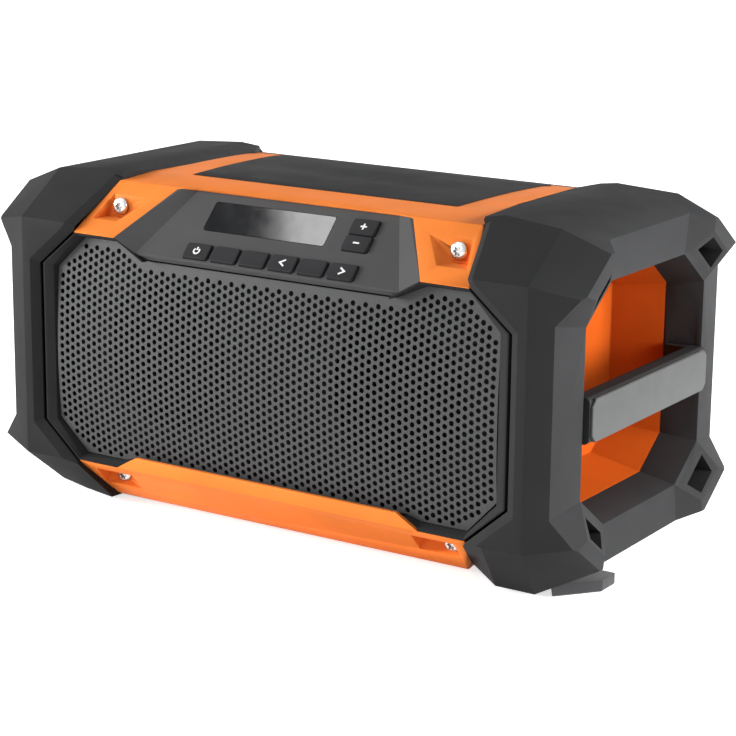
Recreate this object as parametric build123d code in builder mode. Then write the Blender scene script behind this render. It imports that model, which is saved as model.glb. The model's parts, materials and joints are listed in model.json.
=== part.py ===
from build123d import *
import os
from math import atan2, cos, degrees, radians, sin, sqrt, tan

# Jobsite radio, millimetres. The origin is on the floor under the middle of the radio.
# +X is the radio's right-hand end, -Y its front with the loudspeaker grille, +Z up.

# --- end caps: octagonal armour with a hand hole in each end --------------------------
cap_tip_x = 189.0            # outer face of the four ears
cap_shoulder_x = cap_tip_x - 26.0   # the cap tapers from here to its ears
cap_inner_x = cap_tip_x - 80.0    # inner edge of the cap over the top and the bottom
trim_front_y = 96.3          # the trims' front, between the two caps
cap_half_depth = trim_front_y + 3.4
cap_bottom_z = 3.5
cap_top_z = 188.3
cap_crest_x = cap_inner_x + 19.0     # over the top the cap rises to a low crest here
cap_crest_rise = 2.8
cap_bevel_depth = 33.7
cap_bevel_height = 23.6
cap_tip_inset = 10.2
cap_wall = 4.3
cap_edge_depth = 3.2         # the cap's inner edge slopes down to the trims and the frame
cap_edge_width = 4.8
cap_clearance = 0.1          # between the cap's wall and the casing
cap_seam = 2.0               # dark joint between the cap and the grille's frame
cap_flare_x = cap_inner_x + 9.0  # inner edge of the cap where the front bevel meets the top
ring_face_x = cap_tip_x - 9.6    # face of the ring between the ears, at the hand hole
ring_front_x = ring_face_x - 3.5     # face of the ring at the cap's front edge
overrun = 10.0               # how far a cutting shape passes the surface that it cuts
cut_span = 400.0             # side of the blocks that cut away half of a shape
scoop_slope = 54.0
column_half_height = 49.4
column_hole_half_height = 45.2
ridge_half_length = 47.0
scoop_depth = 14.0

hole_half_depth = 69.0
hole_half_height = 64.4
hole_bevel_depth = 26.7
hole_bevel_height = 19.3
ear_face_width = 18.3
rim_x = cap_shoulder_x - 4.0     # where the cap's well ends and the hand recess begins
rim_inset = 4.5
well_wall = 4.0
pocket_floor_x = cap_tip_x - 21.0
pocket_near = 6.5            # from the hand hole's bevel to the pocket
pocket_far = 16.2
pocket_start = 4.3           # along the hand hole's bevel
pocket_length = 22.0
pocket_taper = 3.0

# --- hand recess, grip bar and feet ------------------------------------------------------
recess_floor_x = rim_x - 30.0
recess_floor_inset = 11.3
recess_wall = 2.5
recess_flange = 5.0
bar_outer_x = cap_tip_x - 6.5
bar_thickness = 11.5
bar_drop = 3.4               # the grip bar's middle below the middle of the cap
bar_height = 25.0
bar_seat = 5.0
bar_tab_outer_x = bar_outer_x - 6.5
bar_end_gap = 1.1
bar_corner = 3.0
knee_length = 8.0
knee_inner_x = rim_x + 2.0
pad_thickness = 1.6
pad_edge = 0.8
pad_corner = 3.5
foot_height = 6.5
foot_edge = 0.8
pad_foot_width = 22.0        # plain feet, further in under the caps
pad_foot_depth = 20.0
pad_foot_x = cap_tip_x - 50.0
pad_foot_y = 42.0

# --- casing --------------------------------------------------------------------------------
casing_end_x = recess_floor_x - recess_wall
casing_bottom_z = cap_bottom_z + cap_wall + cap_clearance
casing_top_z = cap_top_z - cap_wall - cap_clearance
casing_wall = 3.0
front_bevel_wall = 14.0      # thicker wall behind the control panel
seal_y = 8.0                 # the seal lies between the front and the rear casing
seal_thickness = 1.0
wing_inset = 1.0
wing_back_y = trim_front_y - 21.3
trim_thickness = 3.0
trim_bottom_z = casing_bottom_z - trim_thickness
trim_rear_y = 60.0
crown_y = 42.0
crown_z = cap_top_z - 0.3
crown_top_z = crown_z + 0.7
top_bevel_back_y = trim_front_y - 29.8
top_bevel_back_z = cap_top_z - 2.9
top_bevel_front_z = top_bevel_back_z - 26.1  # outer face of the trim at the bevel's front
bottom_bevel_back_y = trim_front_y - 30.3
bottom_bevel_back_z = trim_bottom_z + 2.0
bottom_bevel_front_z = bottom_bevel_back_z + 20.7
trim_bottom_y = bottom_bevel_back_y - 3.0
seat_gap = 0.3

# --- grille, its frame and the loudspeakers behind it ------------------------------------
frame_half_width = cap_tip_x - 38.0
frame_front_y = trim_front_y - 0.2
frame_back_y = trim_front_y - 13.3
frame_corner_x = frame_half_width - 23.5
frame_corner_top_z = top_bevel_front_z - 0.7
frame_side_top_z = frame_corner_top_z - 19.6
frame_top_z = frame_corner_top_z - 10.4
frame_corner_bottom_z = bottom_bevel_front_z - 0.3
frame_side_bottom_z = frame_corner_bottom_z + 20.5
frame_bottom_z = frame_corner_bottom_z + 4.3
frame_top_step_x = frame_half_width - 71.0
frame_top_step_run = 18.5
frame_bottom_step_x = frame_half_width - 61.0
frame_bottom_step_run = 8.0
frame_rim = 1.1              # flat rim round the frame's front
frame_slope_inset = 6.0      # the sides slope back from the rim to here
frame_slope_y = frame_front_y - 2.1
frame_wall_inset = 6.8       # the grille fits between walls this far in
frame_draft_y = frame_front_y - 7.6
frame_rail = 3.0             # height of the rails at the corners
frame_middle_rail = 1.0
frame_tab_y = frame_back_y + 4.8     # over the middle the rails are low tabs behind the grille
lip_top_z = frame_bottom_z + 3.3     # the bottom trim's lip in front of the lower tab
lip_half = frame_bottom_step_x - 3.6
lip_run = 13.4
lip_thickness = 2.3
baffle_y = frame_back_y - 4.0
baffle_wall = 4.0
grille_thickness = 1.2
grille_land = 2.0            # the grille's edge rests on the casing this far in
grille_bow_radius = 450.0
grille_front_y = trim_front_y - 3.0
grille_middle_z = (frame_corner_bottom_z + frame_top_z) / 2
grille_rows_per_facet = 2
perforation_pitch = 16.5
perforation = 4.1
perforation_margin = 12.5    # from the frame's side to the outermost holes

speaker_x = frame_half_width - 75.0
speaker_z = 92.0
speaker_flange = 47.0
speaker_cone_radius = 36.0
speaker_opening = 41.0
speaker_flange_thickness = 3.0
magnet_radius = 27.0
magnet_height = 14.0
basket_depth = 20.0
basket_window = 6.5
dust_cap_radius = 12.0

# --- control panel in the front bevel ---------------------------------------------------
panel_tilt = 46.0            # slope of the panel, up from the horizontal
panel_reach = 12.0           # the panel's block stands out this far before the trims' form cuts it
panel_foot_drop = 12.0
panel_shoulder_drop = 2.8
panel_y = 17.45 - trim_front_y
panel_z = top_bevel_front_z + 8.85
panel_half_height = 22.4
panel_side_run = 2 * panel_half_height - 7.5
panel_bottom_half = frame_half_width - 65.6
panel_top_half = panel_bottom_half - 19.9
panel_thickness = 2.4
panel_rise = 6.5             # how far the recess's sloping side walls rise
wall_slope = 0.413
panel_lip_y = trim_front_y - 1.9     # the panel's lower edge overhangs the grille
panel_lip_z = frame_top_z + 2.8
panel_shelf = 1.1
panel_lip_depth = 2.3
panel_lip_chamfer = 2.5
wing_top_x = panel_top_half + 11.1
wing_bottom_x = wing_top_x + 22.0
volume_x = panel_top_half - 16.6
window_left = 15.5 - panel_top_half
window_width = volume_x - window_left - 19.5
window_bottom = -2.4
window_height = 19.4
window_lip = 1.6
lens_thickness = 1.2
lens_gap = 0.2
key_pitch = 18.8
key_first_x = -45.6
key_row_y = -16.4
key_width = 16.2
key_height = 9.6
volume_up_y = 12.0
volume_down_y = 1.6
key_gap = 0.35
key_corner = 1.0
key_stand = 1.6
key_flange = 0.8
key_travel = 0.8
board_depth = 6.2            # face of the control board below the panel's face
board_thickness = 1.6
switch_side = 3.5
switch_shift = 0.6
board_low_y = -17.8
board_margin = 3.0

# --- top inlay ---------------------------------------------------------------------------
inlay_front_y = -40.5
inlay_rear_y = 54.5
inlay_front_half = cap_inner_x - 22.0
inlay_rear_half = inlay_front_half + 4.5
inlay_rise = 0.4
inlay_depth = 2.0

# --- screws ---------------------------------------------------------------------------------
trim_screw_x = cap_inner_x + 0.9
trim_screw_top_z = top_bevel_front_z + 13.5
trim_screw_bottom_z = bottom_bevel_front_z - 10.9
trim_notch_y = trim_front_y - 20.3   # upright face that each trim screw sits on
trim_notch_half_height = 6.3
trim_notch_inner_x = trim_screw_x - 16.9
trim_notch_outer_x = trim_screw_x + 8.9
trim_notch_wall = 2.6
screw_head = 4.9
screw_head_height = 2.6
screw_edge = 1.1
screw_shank = 2.0
screw_clearance = 0.1
screw_length = 14.0
screw_drive = 1.7
well_x = frame_half_width - 41.0
well_low_z = 44.0
well_high_z = 146.0
well_radius = 5.2
well_boss = 7.6
well_floor_y = 26.0
post_radius = 5.0
casing_screw_length = 24.0

# --- battery dock and sockets in the rear --------------------------------------------------
dock_x = -34.0
dock_half_width = 45.0
dock_bottom_z = 34.0
dock_top_z = 150.0
dock_depth = 46.0
dock_wall = 2.5
dock_flange = 1.6
dock_flange_width = 5.0
rail_gap_half = 27.0
rail_bottom_z = 36.0
rail_length = 84.0
post_length = 5.0
board_post_pitch_x = 74.0
board_post_pitch_z = 88.0
rail_depth = 6.0
rail_thickness = 6.0
rail_setback = 14.0
terminal_width = 40.0
terminal_height = 16.0
terminal_depth = 22.0
blade_thickness = 0.8
blade_width = 7.0
blade_length = 13.0
blade_pitch = 9.0
blade_count = 4
socket_x = cap_inner_x - 27.0
socket_z = 96.0
socket_pitch = 22.0
socket_plate_width = 34.0
socket_plate_height = 78.0
socket_recess = 14.0
door_thickness = 2.4
door_gap = 0.4
hinge_radius = 1.5
hinge_pin = 1.0
hinge_pin_length = 2.0
door_lip = 1.0
door_lip_width = 16.0
socket_plate_thickness = 2.0
usb_width = 14.0
usb_height = 7.0
jack_radius = 5.0
jack_stand = 6.0

# --- boards and antenna ------------------------------------------------------------------
sink_width = 60.0
sink_height = 30.0
sink_base = 3.0
sink_fin = 8.0
sink_fin_pitch = 7.0
sink_fins = 8
antenna_length = 180.0
antenna_width = 12.0
antenna_thickness = 0.8
antenna_y = 40.0

mid_z = (cap_bottom_z + cap_top_z) / 2
cap_half_height = (cap_top_z - cap_bottom_z) / 2
bar_middle_z = mid_z - bar_drop

os.makedirs("parts", exist_ok=True)


def save(builder, name):
    """Label one finished sub-part and write it to its own STEP file."""
    builder.part.label = name
    export_step(builder.part, f"parts/{name}.step")


def end_plane(x):
    """Plane across the radio at x: sketch x is the row's Y, sketch y is height about the middle."""
    return Plane(origin=(x, 0, mid_z), x_dir=(0, 1, 0), z_dir=(1, 0, 0))


def section_plane(x):
    """Plane across the radio at x, with heights measured from the floor."""
    return Plane(origin=(x, 0, 0), x_dir=(0, 1, 0), z_dir=(1, 0, 0))


def front_plane(depth):
    """Plane facing the front, `depth` ahead of the middle; heights are measured from the floor."""
    return Plane(origin=(0, -depth, 0), x_dir=(1, 0, 0), z_dir=(0, -1, 0))


def rear_plane(depth):
    """Plane facing the rear; its sketch x runs to the radio's left-hand end."""
    return Plane(origin=(0, depth, 0), x_dir=(-1, 0, 0), z_dir=(0, 1, 0))


def octagon(half_depth, half_height, bevel_depth, bevel_height):
    """Corners of an octagon with unequal bevels."""
    quarter = [
        (half_depth, half_height - bevel_height),
        (half_depth - bevel_depth, half_height),
    ]
    right = [(x, -y) for x, y in reversed(quarter)] + quarter
    return right + [(-x, -y) for x, y in right]


def octagon_face(plane, corners, inset=0.0):
    """Octagonal sketch on a plane, moved in evenly by inset, or out if inset is negative."""
    with BuildSketch(plane) as face:
        Polygon(*corners, align=None)
        if inset:
            offset(amount=-inset, kind=Kind.INTERSECTION)
    return face.sketch


def polygon_face(plane, corners):
    """Polygonal sketch on a plane."""
    with BuildSketch(plane) as face:
        Polygon(*corners, align=None)
    return face.sketch


cap_corners = octagon(cap_half_depth, cap_half_height, cap_bevel_depth, cap_bevel_height)
hole_corners = octagon(hole_half_depth, hole_half_height, hole_bevel_depth, hole_bevel_height)


def cut_rectangle(width, height, corner):
    """Rectangle whose corners are cut across, in the current sketch."""
    half_width = width / 2
    half_height = height / 2
    quarter = [(half_width, half_height - corner), (half_width - corner, half_height)]
    right = [(x, -y) for x, y in reversed(quarter)] + quarter
    with BuildSketch() as face:
        Polygon(*right, *[(-x, -y) for x, y in right], align=None)
    return face.sketch


def mirrored(points):
    """A half outline, listed from its lower middle to its upper middle, with its mirror image."""
    return points + [(-x, y) for x, y in reversed(points)]


def frame_outline(side_inset, rail_inset, middle_inset=None):
    """Outline of the grille's opening in front view, drawn in at the sides and at the rails."""
    corner_inset = min(side_inset, rail_inset) * 0.5
    middle = rail_inset if middle_inset is None else middle_inset
    return mirrored([
        (frame_bottom_step_x, frame_bottom_z + middle),
        (frame_bottom_step_x + frame_bottom_step_run, frame_corner_bottom_z + rail_inset),
        (frame_corner_x - corner_inset, frame_corner_bottom_z + rail_inset),
        (frame_half_width - side_inset, frame_side_bottom_z + corner_inset),
        (frame_half_width - side_inset, frame_side_top_z - corner_inset),
        (frame_corner_x - corner_inset, frame_corner_top_z - rail_inset),
        (frame_top_step_x + frame_top_step_run, frame_corner_top_z - rail_inset),
        (frame_top_step_x, frame_top_z - middle),
    ])


def lip_outline(gap):
    """Front view of the bottom trim's lip, from the frame's lower edge up."""
    return mirrored([
        (lip_half + lip_run + 2 * gap, frame_corner_bottom_z),
        (lip_half + 2 * gap, lip_top_z + gap),
    ])


# ---------------------------------------------------------------------------------------------
# End caps
# ---------------------------------------------------------------------------------------------

def opening_outline(gap):
    """Inner edge of the caps in front view: beside the grille frame, then up the bevels."""
    side_x = frame_half_width + cap_seam - gap
    corner_x = frame_corner_x + cap_seam / 2 - gap
    flare_x = cap_flare_x - gap
    return mirrored([
        (flare_x - 1, cap_bottom_z - overrun),
        (flare_x, bottom_bevel_back_z),
        (corner_x, frame_corner_bottom_z - cap_seam / 2),
        (side_x, frame_side_bottom_z),
        (side_x, frame_side_top_z),
        (corner_x, frame_corner_top_z + cap_seam / 2),
        (flare_x, top_bevel_back_z + cap_seam / 2),
        (flare_x - 1, cap_top_z + overrun),
    ])


def opening_plan(gap):
    """Inner edge of the caps in plan, over the top and the bottom: flared to the bevels."""
    straight_x = cap_inner_x + 0.5 - gap
    return mirrored([
        (cap_flare_x - gap, -top_bevel_back_y - 1),
        (straight_x, -15.0),
        (straight_x, 50.0),
        (cap_flare_x - gap, top_bevel_back_y + 1),
    ])


def opening_blocks(gap):
    """The space between the two caps, in three blocks, drawn in by a gap."""
    reach = cap_half_depth + overrun
    with BuildPart() as core:
        with BuildSketch(front_plane(reach)):
            Polygon(*opening_outline(gap), align=None)
        extrude(amount=-(reach - top_bevel_back_y))
        with BuildSketch(front_plane(-top_bevel_back_y)):
            Polygon(*opening_outline(gap), align=None)
        extrude(amount=-(reach - top_bevel_back_y))
        with BuildSketch(Plane.XY.offset(cap_bottom_z - overrun)):
            Polygon(*opening_plan(gap), align=None)
        extrude(amount=cap_top_z - cap_bottom_z + 2 * overrun)
    return core


opening_core = opening_blocks(0)
trim_core = opening_blocks(seat_gap)


def scoop(plane, outline, flare):
    """The space taken out of the ring between two ears: flat floor, sloping ends."""
    floor = polygon_face(plane, outline)
    with BuildSketch(plane.offset(scoop_depth)) as mouth:
        Polygon(*outline, align=None)
        offset(amount=flare, kind=Kind.INTERSECTION)
    return floor, mouth.sketch


def ear_point(side, up, along, across):
    """Point on an ear, measured along and across the hand hole's bevel, as (y, height)."""
    length = sqrt(hole_bevel_depth**2 + hole_bevel_height**2)
    run = hole_bevel_depth / length
    rise = hole_bevel_height / length
    return (
        side * (hole_half_depth - along * run + across * rise),
        up * (hole_half_height - hole_bevel_height + along * rise + across * run),
    )


def flare_half(z):
    """Half width of the caps' opening at a height on the front bevel."""
    low_z = frame_corner_top_z + cap_seam / 2
    high_z = top_bevel_back_z + cap_seam / 2
    low_x = frame_corner_x + cap_seam / 2
    return low_x + (cap_flare_x - low_x) * (z - low_z) / (high_z - low_z)


cap_bevel_length = sqrt(cap_bevel_depth**2 + cap_bevel_height**2)
cap_bevel_sin = cap_bevel_height / cap_bevel_length
cap_bevel_cos = cap_bevel_depth / cap_bevel_length
column_lean = Vector(cap_half_depth - 6.0 - hole_half_depth, ring_face_x - ring_front_x)
column_overlap = 20.0
column_end_half_height = column_half_height + 2.4
flare = scoop_depth / tan(radians(90 - scoop_slope))

crest_profile = [
    (cap_inner_x, cap_top_z - cap_wall),
    (cap_inner_x, cap_top_z),
    (cap_crest_x, cap_top_z + cap_crest_rise),
    (cap_shoulder_x, cap_top_z),
    (cap_shoulder_x, cap_top_z - cap_wall),
]
crest_run = cap_crest_rise * cap_bevel_depth / cap_bevel_height
bevel_foot = (cap_wall + cap_crest_rise) * cap_bevel_depth / cap_bevel_height
crest_half_depth = cap_half_depth - cap_bevel_depth - crest_run

with BuildPart() as cap_crest:
    with BuildSketch(front_plane(crest_half_depth + bevel_foot)):
        Polygon(*crest_profile, align=None)
    extrude(amount=-2 * (crest_half_depth + bevel_foot))
    with BuildSketch(end_plane(cap_inner_x)):
        with Locations((0, cap_half_height - cap_wall)):
            Trapezoid(
                2 * (crest_half_depth + bevel_foot),
                cap_wall + cap_crest_rise,
                degrees(atan2(cap_bevel_height, cap_bevel_depth)),
                align=(Align.CENTER, Align.MIN),
            )
    extrude(amount=cap_shoulder_x - cap_inner_x, mode=Mode.INTERSECT)

with BuildPart() as right_end_cap:
    with BuildSketch(end_plane(cap_inner_x)):
        Polygon(*cap_corners, align=None)
    extrude(amount=cap_shoulder_x - cap_inner_x)
    add(cap_crest.part)
    loft(
        [
            octagon_face(end_plane(cap_shoulder_x), cap_corners),
            octagon_face(end_plane(cap_tip_x), cap_corners, cap_tip_inset),
        ],
        ruled=True,
    )
    # Four scoops set the ring back between the ears.
    for side in (-1, 1):
        column_plane = Plane(
            origin=(ring_face_x, side * hole_half_depth, mid_z),
            x_dir=(-column_lean.Y, side * column_lean.X, 0),
            z_dir=(column_lean.X, side * column_lean.Y, 0),
        )
        reach = column_lean.length + overrun + 4.0
        outline = [
            (-column_overlap, side * column_hole_half_height),
            (0.0, side * column_hole_half_height),
            (reach, side * column_end_half_height),
            (reach, -side * column_end_half_height),
            (0.0, -side * column_hole_half_height),
            (-column_overlap, -side * column_hole_half_height),
        ]
        loft(list(scoop(column_plane, outline, flare)), ruled=True, mode=Mode.SUBTRACT)
        ridge_hole_half = hole_half_depth - hole_bevel_depth
        ridge_outline = [
            (-ridge_hole_half, side * (hole_half_height - column_overlap)),
            (ridge_hole_half, side * (hole_half_height - column_overlap)),
            (ridge_hole_half, side * hole_half_height),
            (ridge_half_length + 2, side * (cap_half_height + 6)),
            (-ridge_half_length - 2, side * (cap_half_height + 6)),
            (-ridge_hole_half, side * hole_half_height),
        ]
        loft(
            list(scoop(end_plane(ring_face_x), ridge_outline, flare)),
            ruled=True,
            mode=Mode.SUBTRACT,
        )
    # The ears slope in to the bevels of the hand hole.
    bevel_rise = hole_bevel_height / hole_bevel_depth
    diamond_half_height = hole_half_height - hole_bevel_height + hole_half_depth * bevel_rise
    diamond_half_depth = diamond_half_height / bevel_rise
    diamond = [
        (diamond_half_depth, 0),
        (0, diamond_half_height),
        (-diamond_half_depth, 0),
        (0, -diamond_half_height),
    ]
    loft(
        [
            octagon_face(end_plane(ring_face_x), diamond),
            octagon_face(
                end_plane(cap_tip_x + 2),
                diamond,
                -ear_face_width * (cap_tip_x + 2 - ring_face_x) / (cap_tip_x - ring_face_x),
            ),
        ],
        ruled=True,
        mode=Mode.SUBTRACT,
    )
    # Hollow from the casing's side, round the well of the hand hole.
    with BuildSketch(end_plane(cap_inner_x)):
        Polygon(*cap_corners, align=None)
        offset(amount=-cap_wall, kind=Kind.INTERSECTION)
    extrude(amount=cap_shoulder_x - cap_inner_x, mode=Mode.SUBTRACT)
    with BuildSketch(end_plane(rim_x)):
        Polygon(*hole_corners, align=None)
        offset(amount=well_wall - rim_inset, kind=Kind.INTERSECTION)
    extrude(amount=cap_shoulder_x - rim_x)
    # Hand hole, drafted down to the rim of the recess.
    loft(
        [
            octagon_face(end_plane(rim_x), hole_corners, rim_inset),
            octagon_face(end_plane(ring_face_x), hole_corners),
            octagon_face(end_plane(cap_tip_x + 1), hole_corners),
        ],
        ruled=True,
        mode=Mode.SUBTRACT,
    )
    # Lashing pocket in each ear.
    for side in (-1, 1):
        for up in (-1, 1):
            with BuildSketch(end_plane(pocket_floor_x)):
                Polygon(
                    ear_point(side, up, pocket_start, pocket_near),
                    ear_point(side, up, pocket_start + pocket_taper, pocket_far),
                    ear_point(side, up, pocket_start + pocket_length - pocket_taper, pocket_far),
                    ear_point(side, up, pocket_start + pocket_length, pocket_near),
                    align=None,
                )
            extrude(amount=cap_tip_x + 2 - pocket_floor_x, mode=Mode.SUBTRACT)
    # Inner edge: round the front and rear openings, and flared over the top.
    add(opening_core.part, mode=Mode.SUBTRACT)
    # The edge beside the grille and up the front bevel is sloped.
    with BuildSketch(front_plane(cap_half_depth - cap_edge_depth)) as edge_floor:
        Polygon(*opening_outline(0), align=None)
    with BuildSketch(front_plane(cap_half_depth)) as edge_mouth:
        Polygon(*opening_outline(0), align=None)
        offset(amount=cap_edge_width, kind=Kind.INTERSECTION)
    loft([edge_floor.sketch, edge_mouth.sketch], ruled=True, mode=Mode.SUBTRACT)
    bevel_plane = Plane(
        origin=(0, cap_bevel_depth - cap_half_depth, cap_top_z),
        x_dir=(1, 0, 0),
        z_dir=(0, -cap_bevel_sin, cap_bevel_cos),
    )
    low_half = flare_half(cap_top_z - cap_bevel_height)
    high_half = flare_half(cap_top_z)
    loft(
        [
            polygon_face(
                bevel_plane.offset(depth),
                mirrored([(low_half + grow, -cap_bevel_length), (high_half + grow, 0)]),
            )
            for depth, grow in ((-cap_edge_depth, 0), (0, cap_edge_width))
        ],
        ruled=True,
        mode=Mode.SUBTRACT,
    )
    # Sockets for the ends of the grip bar.
    with BuildSketch(section_plane(knee_inner_x)):
        with Locations((0, bar_middle_z)):
            Rectangle(2 * (hole_half_depth + bar_seat), bar_height)
    extrude(amount=bar_tab_outer_x - knee_inner_x, mode=Mode.SUBTRACT)

save(right_end_cap, "right_end_cap")

with BuildPart() as left_end_cap:
    mirror(right_end_cap.part, about=Plane.YZ)

save(left_end_cap, "left_end_cap")

# ---------------------------------------------------------------------------------------------
# Hand recesses, grip bars, feet
# ---------------------------------------------------------------------------------------------

with BuildPart() as right_hand_recess:
    loft(
        [
            octagon_face(end_plane(casing_end_x), hole_corners, recess_floor_inset - recess_wall),
            octagon_face(end_plane(rim_x), hole_corners, rim_inset - recess_wall),
        ],
        ruled=True,
    )
    with BuildSketch(end_plane(rim_x)):
        Polygon(*hole_corners, align=None)
        offset(amount=recess_flange + recess_wall - rim_inset, kind=Kind.INTERSECTION)
    extrude(amount=-recess_wall)
    loft(
        [
            octagon_face(end_plane(recess_floor_x), hole_corners, recess_floor_inset),
            octagon_face(end_plane(rim_x), hole_corners, rim_inset),
        ],
        ruled=True,
        mode=Mode.SUBTRACT,
    )
save(right_hand_recess, "right_hand_recess")

with BuildPart() as left_hand_recess:
    mirror(right_hand_recess.part, about=Plane.YZ)
save(left_hand_recess, "left_hand_recess")

bar_inner_x = bar_outer_x - bar_thickness
bar_half_length = hole_half_depth - bar_end_gap

with BuildPart() as right_grip_bar:
    with BuildSketch(section_plane(bar_inner_x)):
        with Locations((0, bar_middle_z)):
            Rectangle(2 * bar_half_length, bar_height - 2 * seat_gap)
    extrude(amount=bar_thickness)
    fillet(right_grip_bar.edges().filter_by(Axis.Y), radius=bar_corner)
    # Tabs in the ring's sockets, and the knees that run back to the rim of the recess.
    for side in (-1, 1):
        tab_y = side * (hole_half_depth + (bar_seat - seat_gap - knee_length) / 2)
        with BuildSketch(section_plane(knee_inner_x + seat_gap)):
            with Locations((tab_y, bar_middle_z)):
                Rectangle(bar_seat - seat_gap + knee_length, bar_height - 2 * seat_gap)
        extrude(amount=bar_tab_outer_x - knee_inner_x - 2 * seat_gap)
save(right_grip_bar, "right_grip_bar")

with BuildPart() as left_grip_bar:
    mirror(right_grip_bar.part, about=Plane.YZ)
save(left_grip_bar, "left_grip_bar")

with BuildPart() as right_grip_pad:
    with BuildSketch(section_plane(bar_outer_x)):
        with Locations((0, bar_middle_z)):
            pad_length = 2 * (bar_half_length - pad_edge)
            add(cut_rectangle(pad_length, bar_height - 2 * (seat_gap + pad_edge), pad_corner))
    extrude(amount=pad_thickness)
    chamfer(right_grip_pad.faces().sort_by(Axis.X)[-1].edges(), length=0.5)
save(right_grip_pad, "right_grip_pad")

with BuildPart() as left_grip_pad:
    mirror(right_grip_pad.part, about=Plane.YZ)
save(left_grip_pad, "left_grip_pad")

# The front right foot reaches out under its ear, with its outer edge cut across the corner.
# The others are plain pads further in, where the caps hide them.
block_foot_plan = [
    (cap_shoulder_x - 11.0, -pad_foot_y - 6.0),
    (cap_tip_x - 19.3, 22.0 - cap_half_depth),
    (cap_tip_x - 1.8, 44.0 - cap_half_depth),
    (cap_tip_x - 1.8, -pad_foot_y),
    (cap_shoulder_x - 11.0, -pad_foot_y),
]

with BuildPart() as front_right_foot:
    with BuildSketch(Plane.XY):
        Polygon(*block_foot_plan, align=None)
    extrude(amount=foot_height)
    chamfer(front_right_foot.faces().sort_by(Axis.Z)[0].edges(), length=foot_edge)
    add(right_end_cap.part, mode=Mode.SUBTRACT)
save(front_right_foot, "front_right_foot")

for foot_name, end, side in (
    ("front_left_foot", -1, -1),
    ("rear_left_foot", -1, 1),
    ("rear_right_foot", 1, 1),
):
    with BuildPart() as foot:
        with BuildSketch(Plane.XY):
            with Locations((end * pad_foot_x, side * pad_foot_y)):
                Rectangle(pad_foot_width, pad_foot_depth)
        extrude(amount=cap_bottom_z)
        chamfer(foot.edges().filter_by(Axis.Z), length=3 * foot_edge)
        chamfer(foot.faces().sort_by(Axis.Z)[0].edges(), length=foot_edge)
    save(foot, foot_name)

# ---------------------------------------------------------------------------------------------
# Casing
# ---------------------------------------------------------------------------------------------

top_slope = (top_bevel_back_z - top_bevel_front_z) / (trim_front_y - top_bevel_back_y)
bottom_slope = (bottom_bevel_front_z - bottom_bevel_back_z) / (trim_front_y - bottom_bevel_back_y)


def body_corners(depth, top_depth, bevel_depth, top_z, bottom_z):
    """Section across the body, `depth` inside the trims' front, bevel_depth under the bevels."""
    top_drop = top_depth * (1 + top_slope**2) ** 0.5
    bottom_drop = bevel_depth * (1 + bottom_slope**2) ** 0.5
    front = trim_front_y - depth
    top_line = top_bevel_front_z - top_drop
    bottom_line = bottom_bevel_front_z + bottom_drop
    return mirrored([
        (trim_front_y - (bottom_line - bottom_z) / bottom_slope, bottom_z),
        (front, bottom_line - depth * bottom_slope),
        (front, top_line + depth * top_slope),
        (trim_front_y - (top_z - top_line) / top_slope, top_z),
    ])


trim_side = [
    (trim_bottom_y, trim_bottom_z),
    (bottom_bevel_back_y, bottom_bevel_back_z),
    (trim_front_y, bottom_bevel_front_z),
    (trim_front_y, top_bevel_front_z),
    (top_bevel_back_y, top_bevel_back_z),
    (crown_y, crown_z),
]


def trim_face(plane, side=None):
    """Outer section of the trims, crowned over the top; only y < trim_rear_y or y > it."""
    with BuildSketch(plane) as face:
        with BuildLine():
            Polyline(*trim_side)
            ThreePointArc((crown_y, crown_z), (0, crown_top_z), (-crown_y, crown_z))
            Polyline(*[(-y, z) for y, z in reversed(trim_side)])
            Line((-trim_bottom_y, trim_bottom_z), (trim_bottom_y, trim_bottom_z))
        make_face()
        if side:
            with Locations((trim_rear_y - side * cut_span / 2, mid_z)):
                Rectangle(cut_span, cut_span, mode=Mode.SUBTRACT)
    return face.sketch


casing_section = body_corners(
    trim_thickness, trim_thickness, trim_thickness, casing_top_z, casing_bottom_z
)
inner_depth = cap_wall + casing_wall
inner_section = body_corners(
    inner_depth, inner_depth, inner_depth, casing_top_z - casing_wall, casing_bottom_z + casing_wall
)
rear_inner_section = body_corners(
    casing_wall, casing_wall, casing_wall, casing_top_z - casing_wall, casing_bottom_z + casing_wall
)
front_inner_section = body_corners(
    inner_depth,
    trim_thickness + front_bevel_wall,
    inner_depth,
    casing_top_z - casing_wall,
    casing_bottom_z + casing_wall,
)

panel_plane = Plane(
    origin=(0, panel_y, panel_z),
    x_dir=(1, 0, 0),
    z_dir=(0, -sin(radians(panel_tilt)), cos(radians(panel_tilt))),
)
panel_foot_y = -panel_half_height - panel_foot_drop
panel_spread = (wing_bottom_x - wing_top_x) / panel_side_run
panel_shoulder_y = panel_half_height - panel_shoulder_drop
panel_outline = mirrored([
    (wing_top_x + panel_spread * (panel_shoulder_y - panel_foot_y), panel_foot_y),
    (wing_top_x, panel_shoulder_y),
    (panel_top_half, panel_half_height),
])
panel_axis = Axis((0, 0, 0), tuple(panel_plane.z_dir))


def board_outline(low_y, gap):
    """Outline of the control board, from low_y up to the top edge of the panel."""
    growth = (panel_bottom_half - panel_top_half) / (2 * panel_half_height)
    low_half = panel_bottom_half - board_margin - growth * (low_y + panel_half_height)
    return mirrored([
        (low_half - gap, low_y),
        (panel_top_half - board_margin - gap, panel_half_height - 1.0 - gap),
    ])


casing_half = casing_end_x
notch_z = {trim_screw_top_z: 1, trim_screw_bottom_z: -1}
screw_spots = {
    1: [(-trim_screw_x, trim_screw_top_z), (trim_screw_x, trim_screw_top_z)],
    -1: [(-trim_screw_x, trim_screw_bottom_z), (trim_screw_x, trim_screw_bottom_z)],
}


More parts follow.
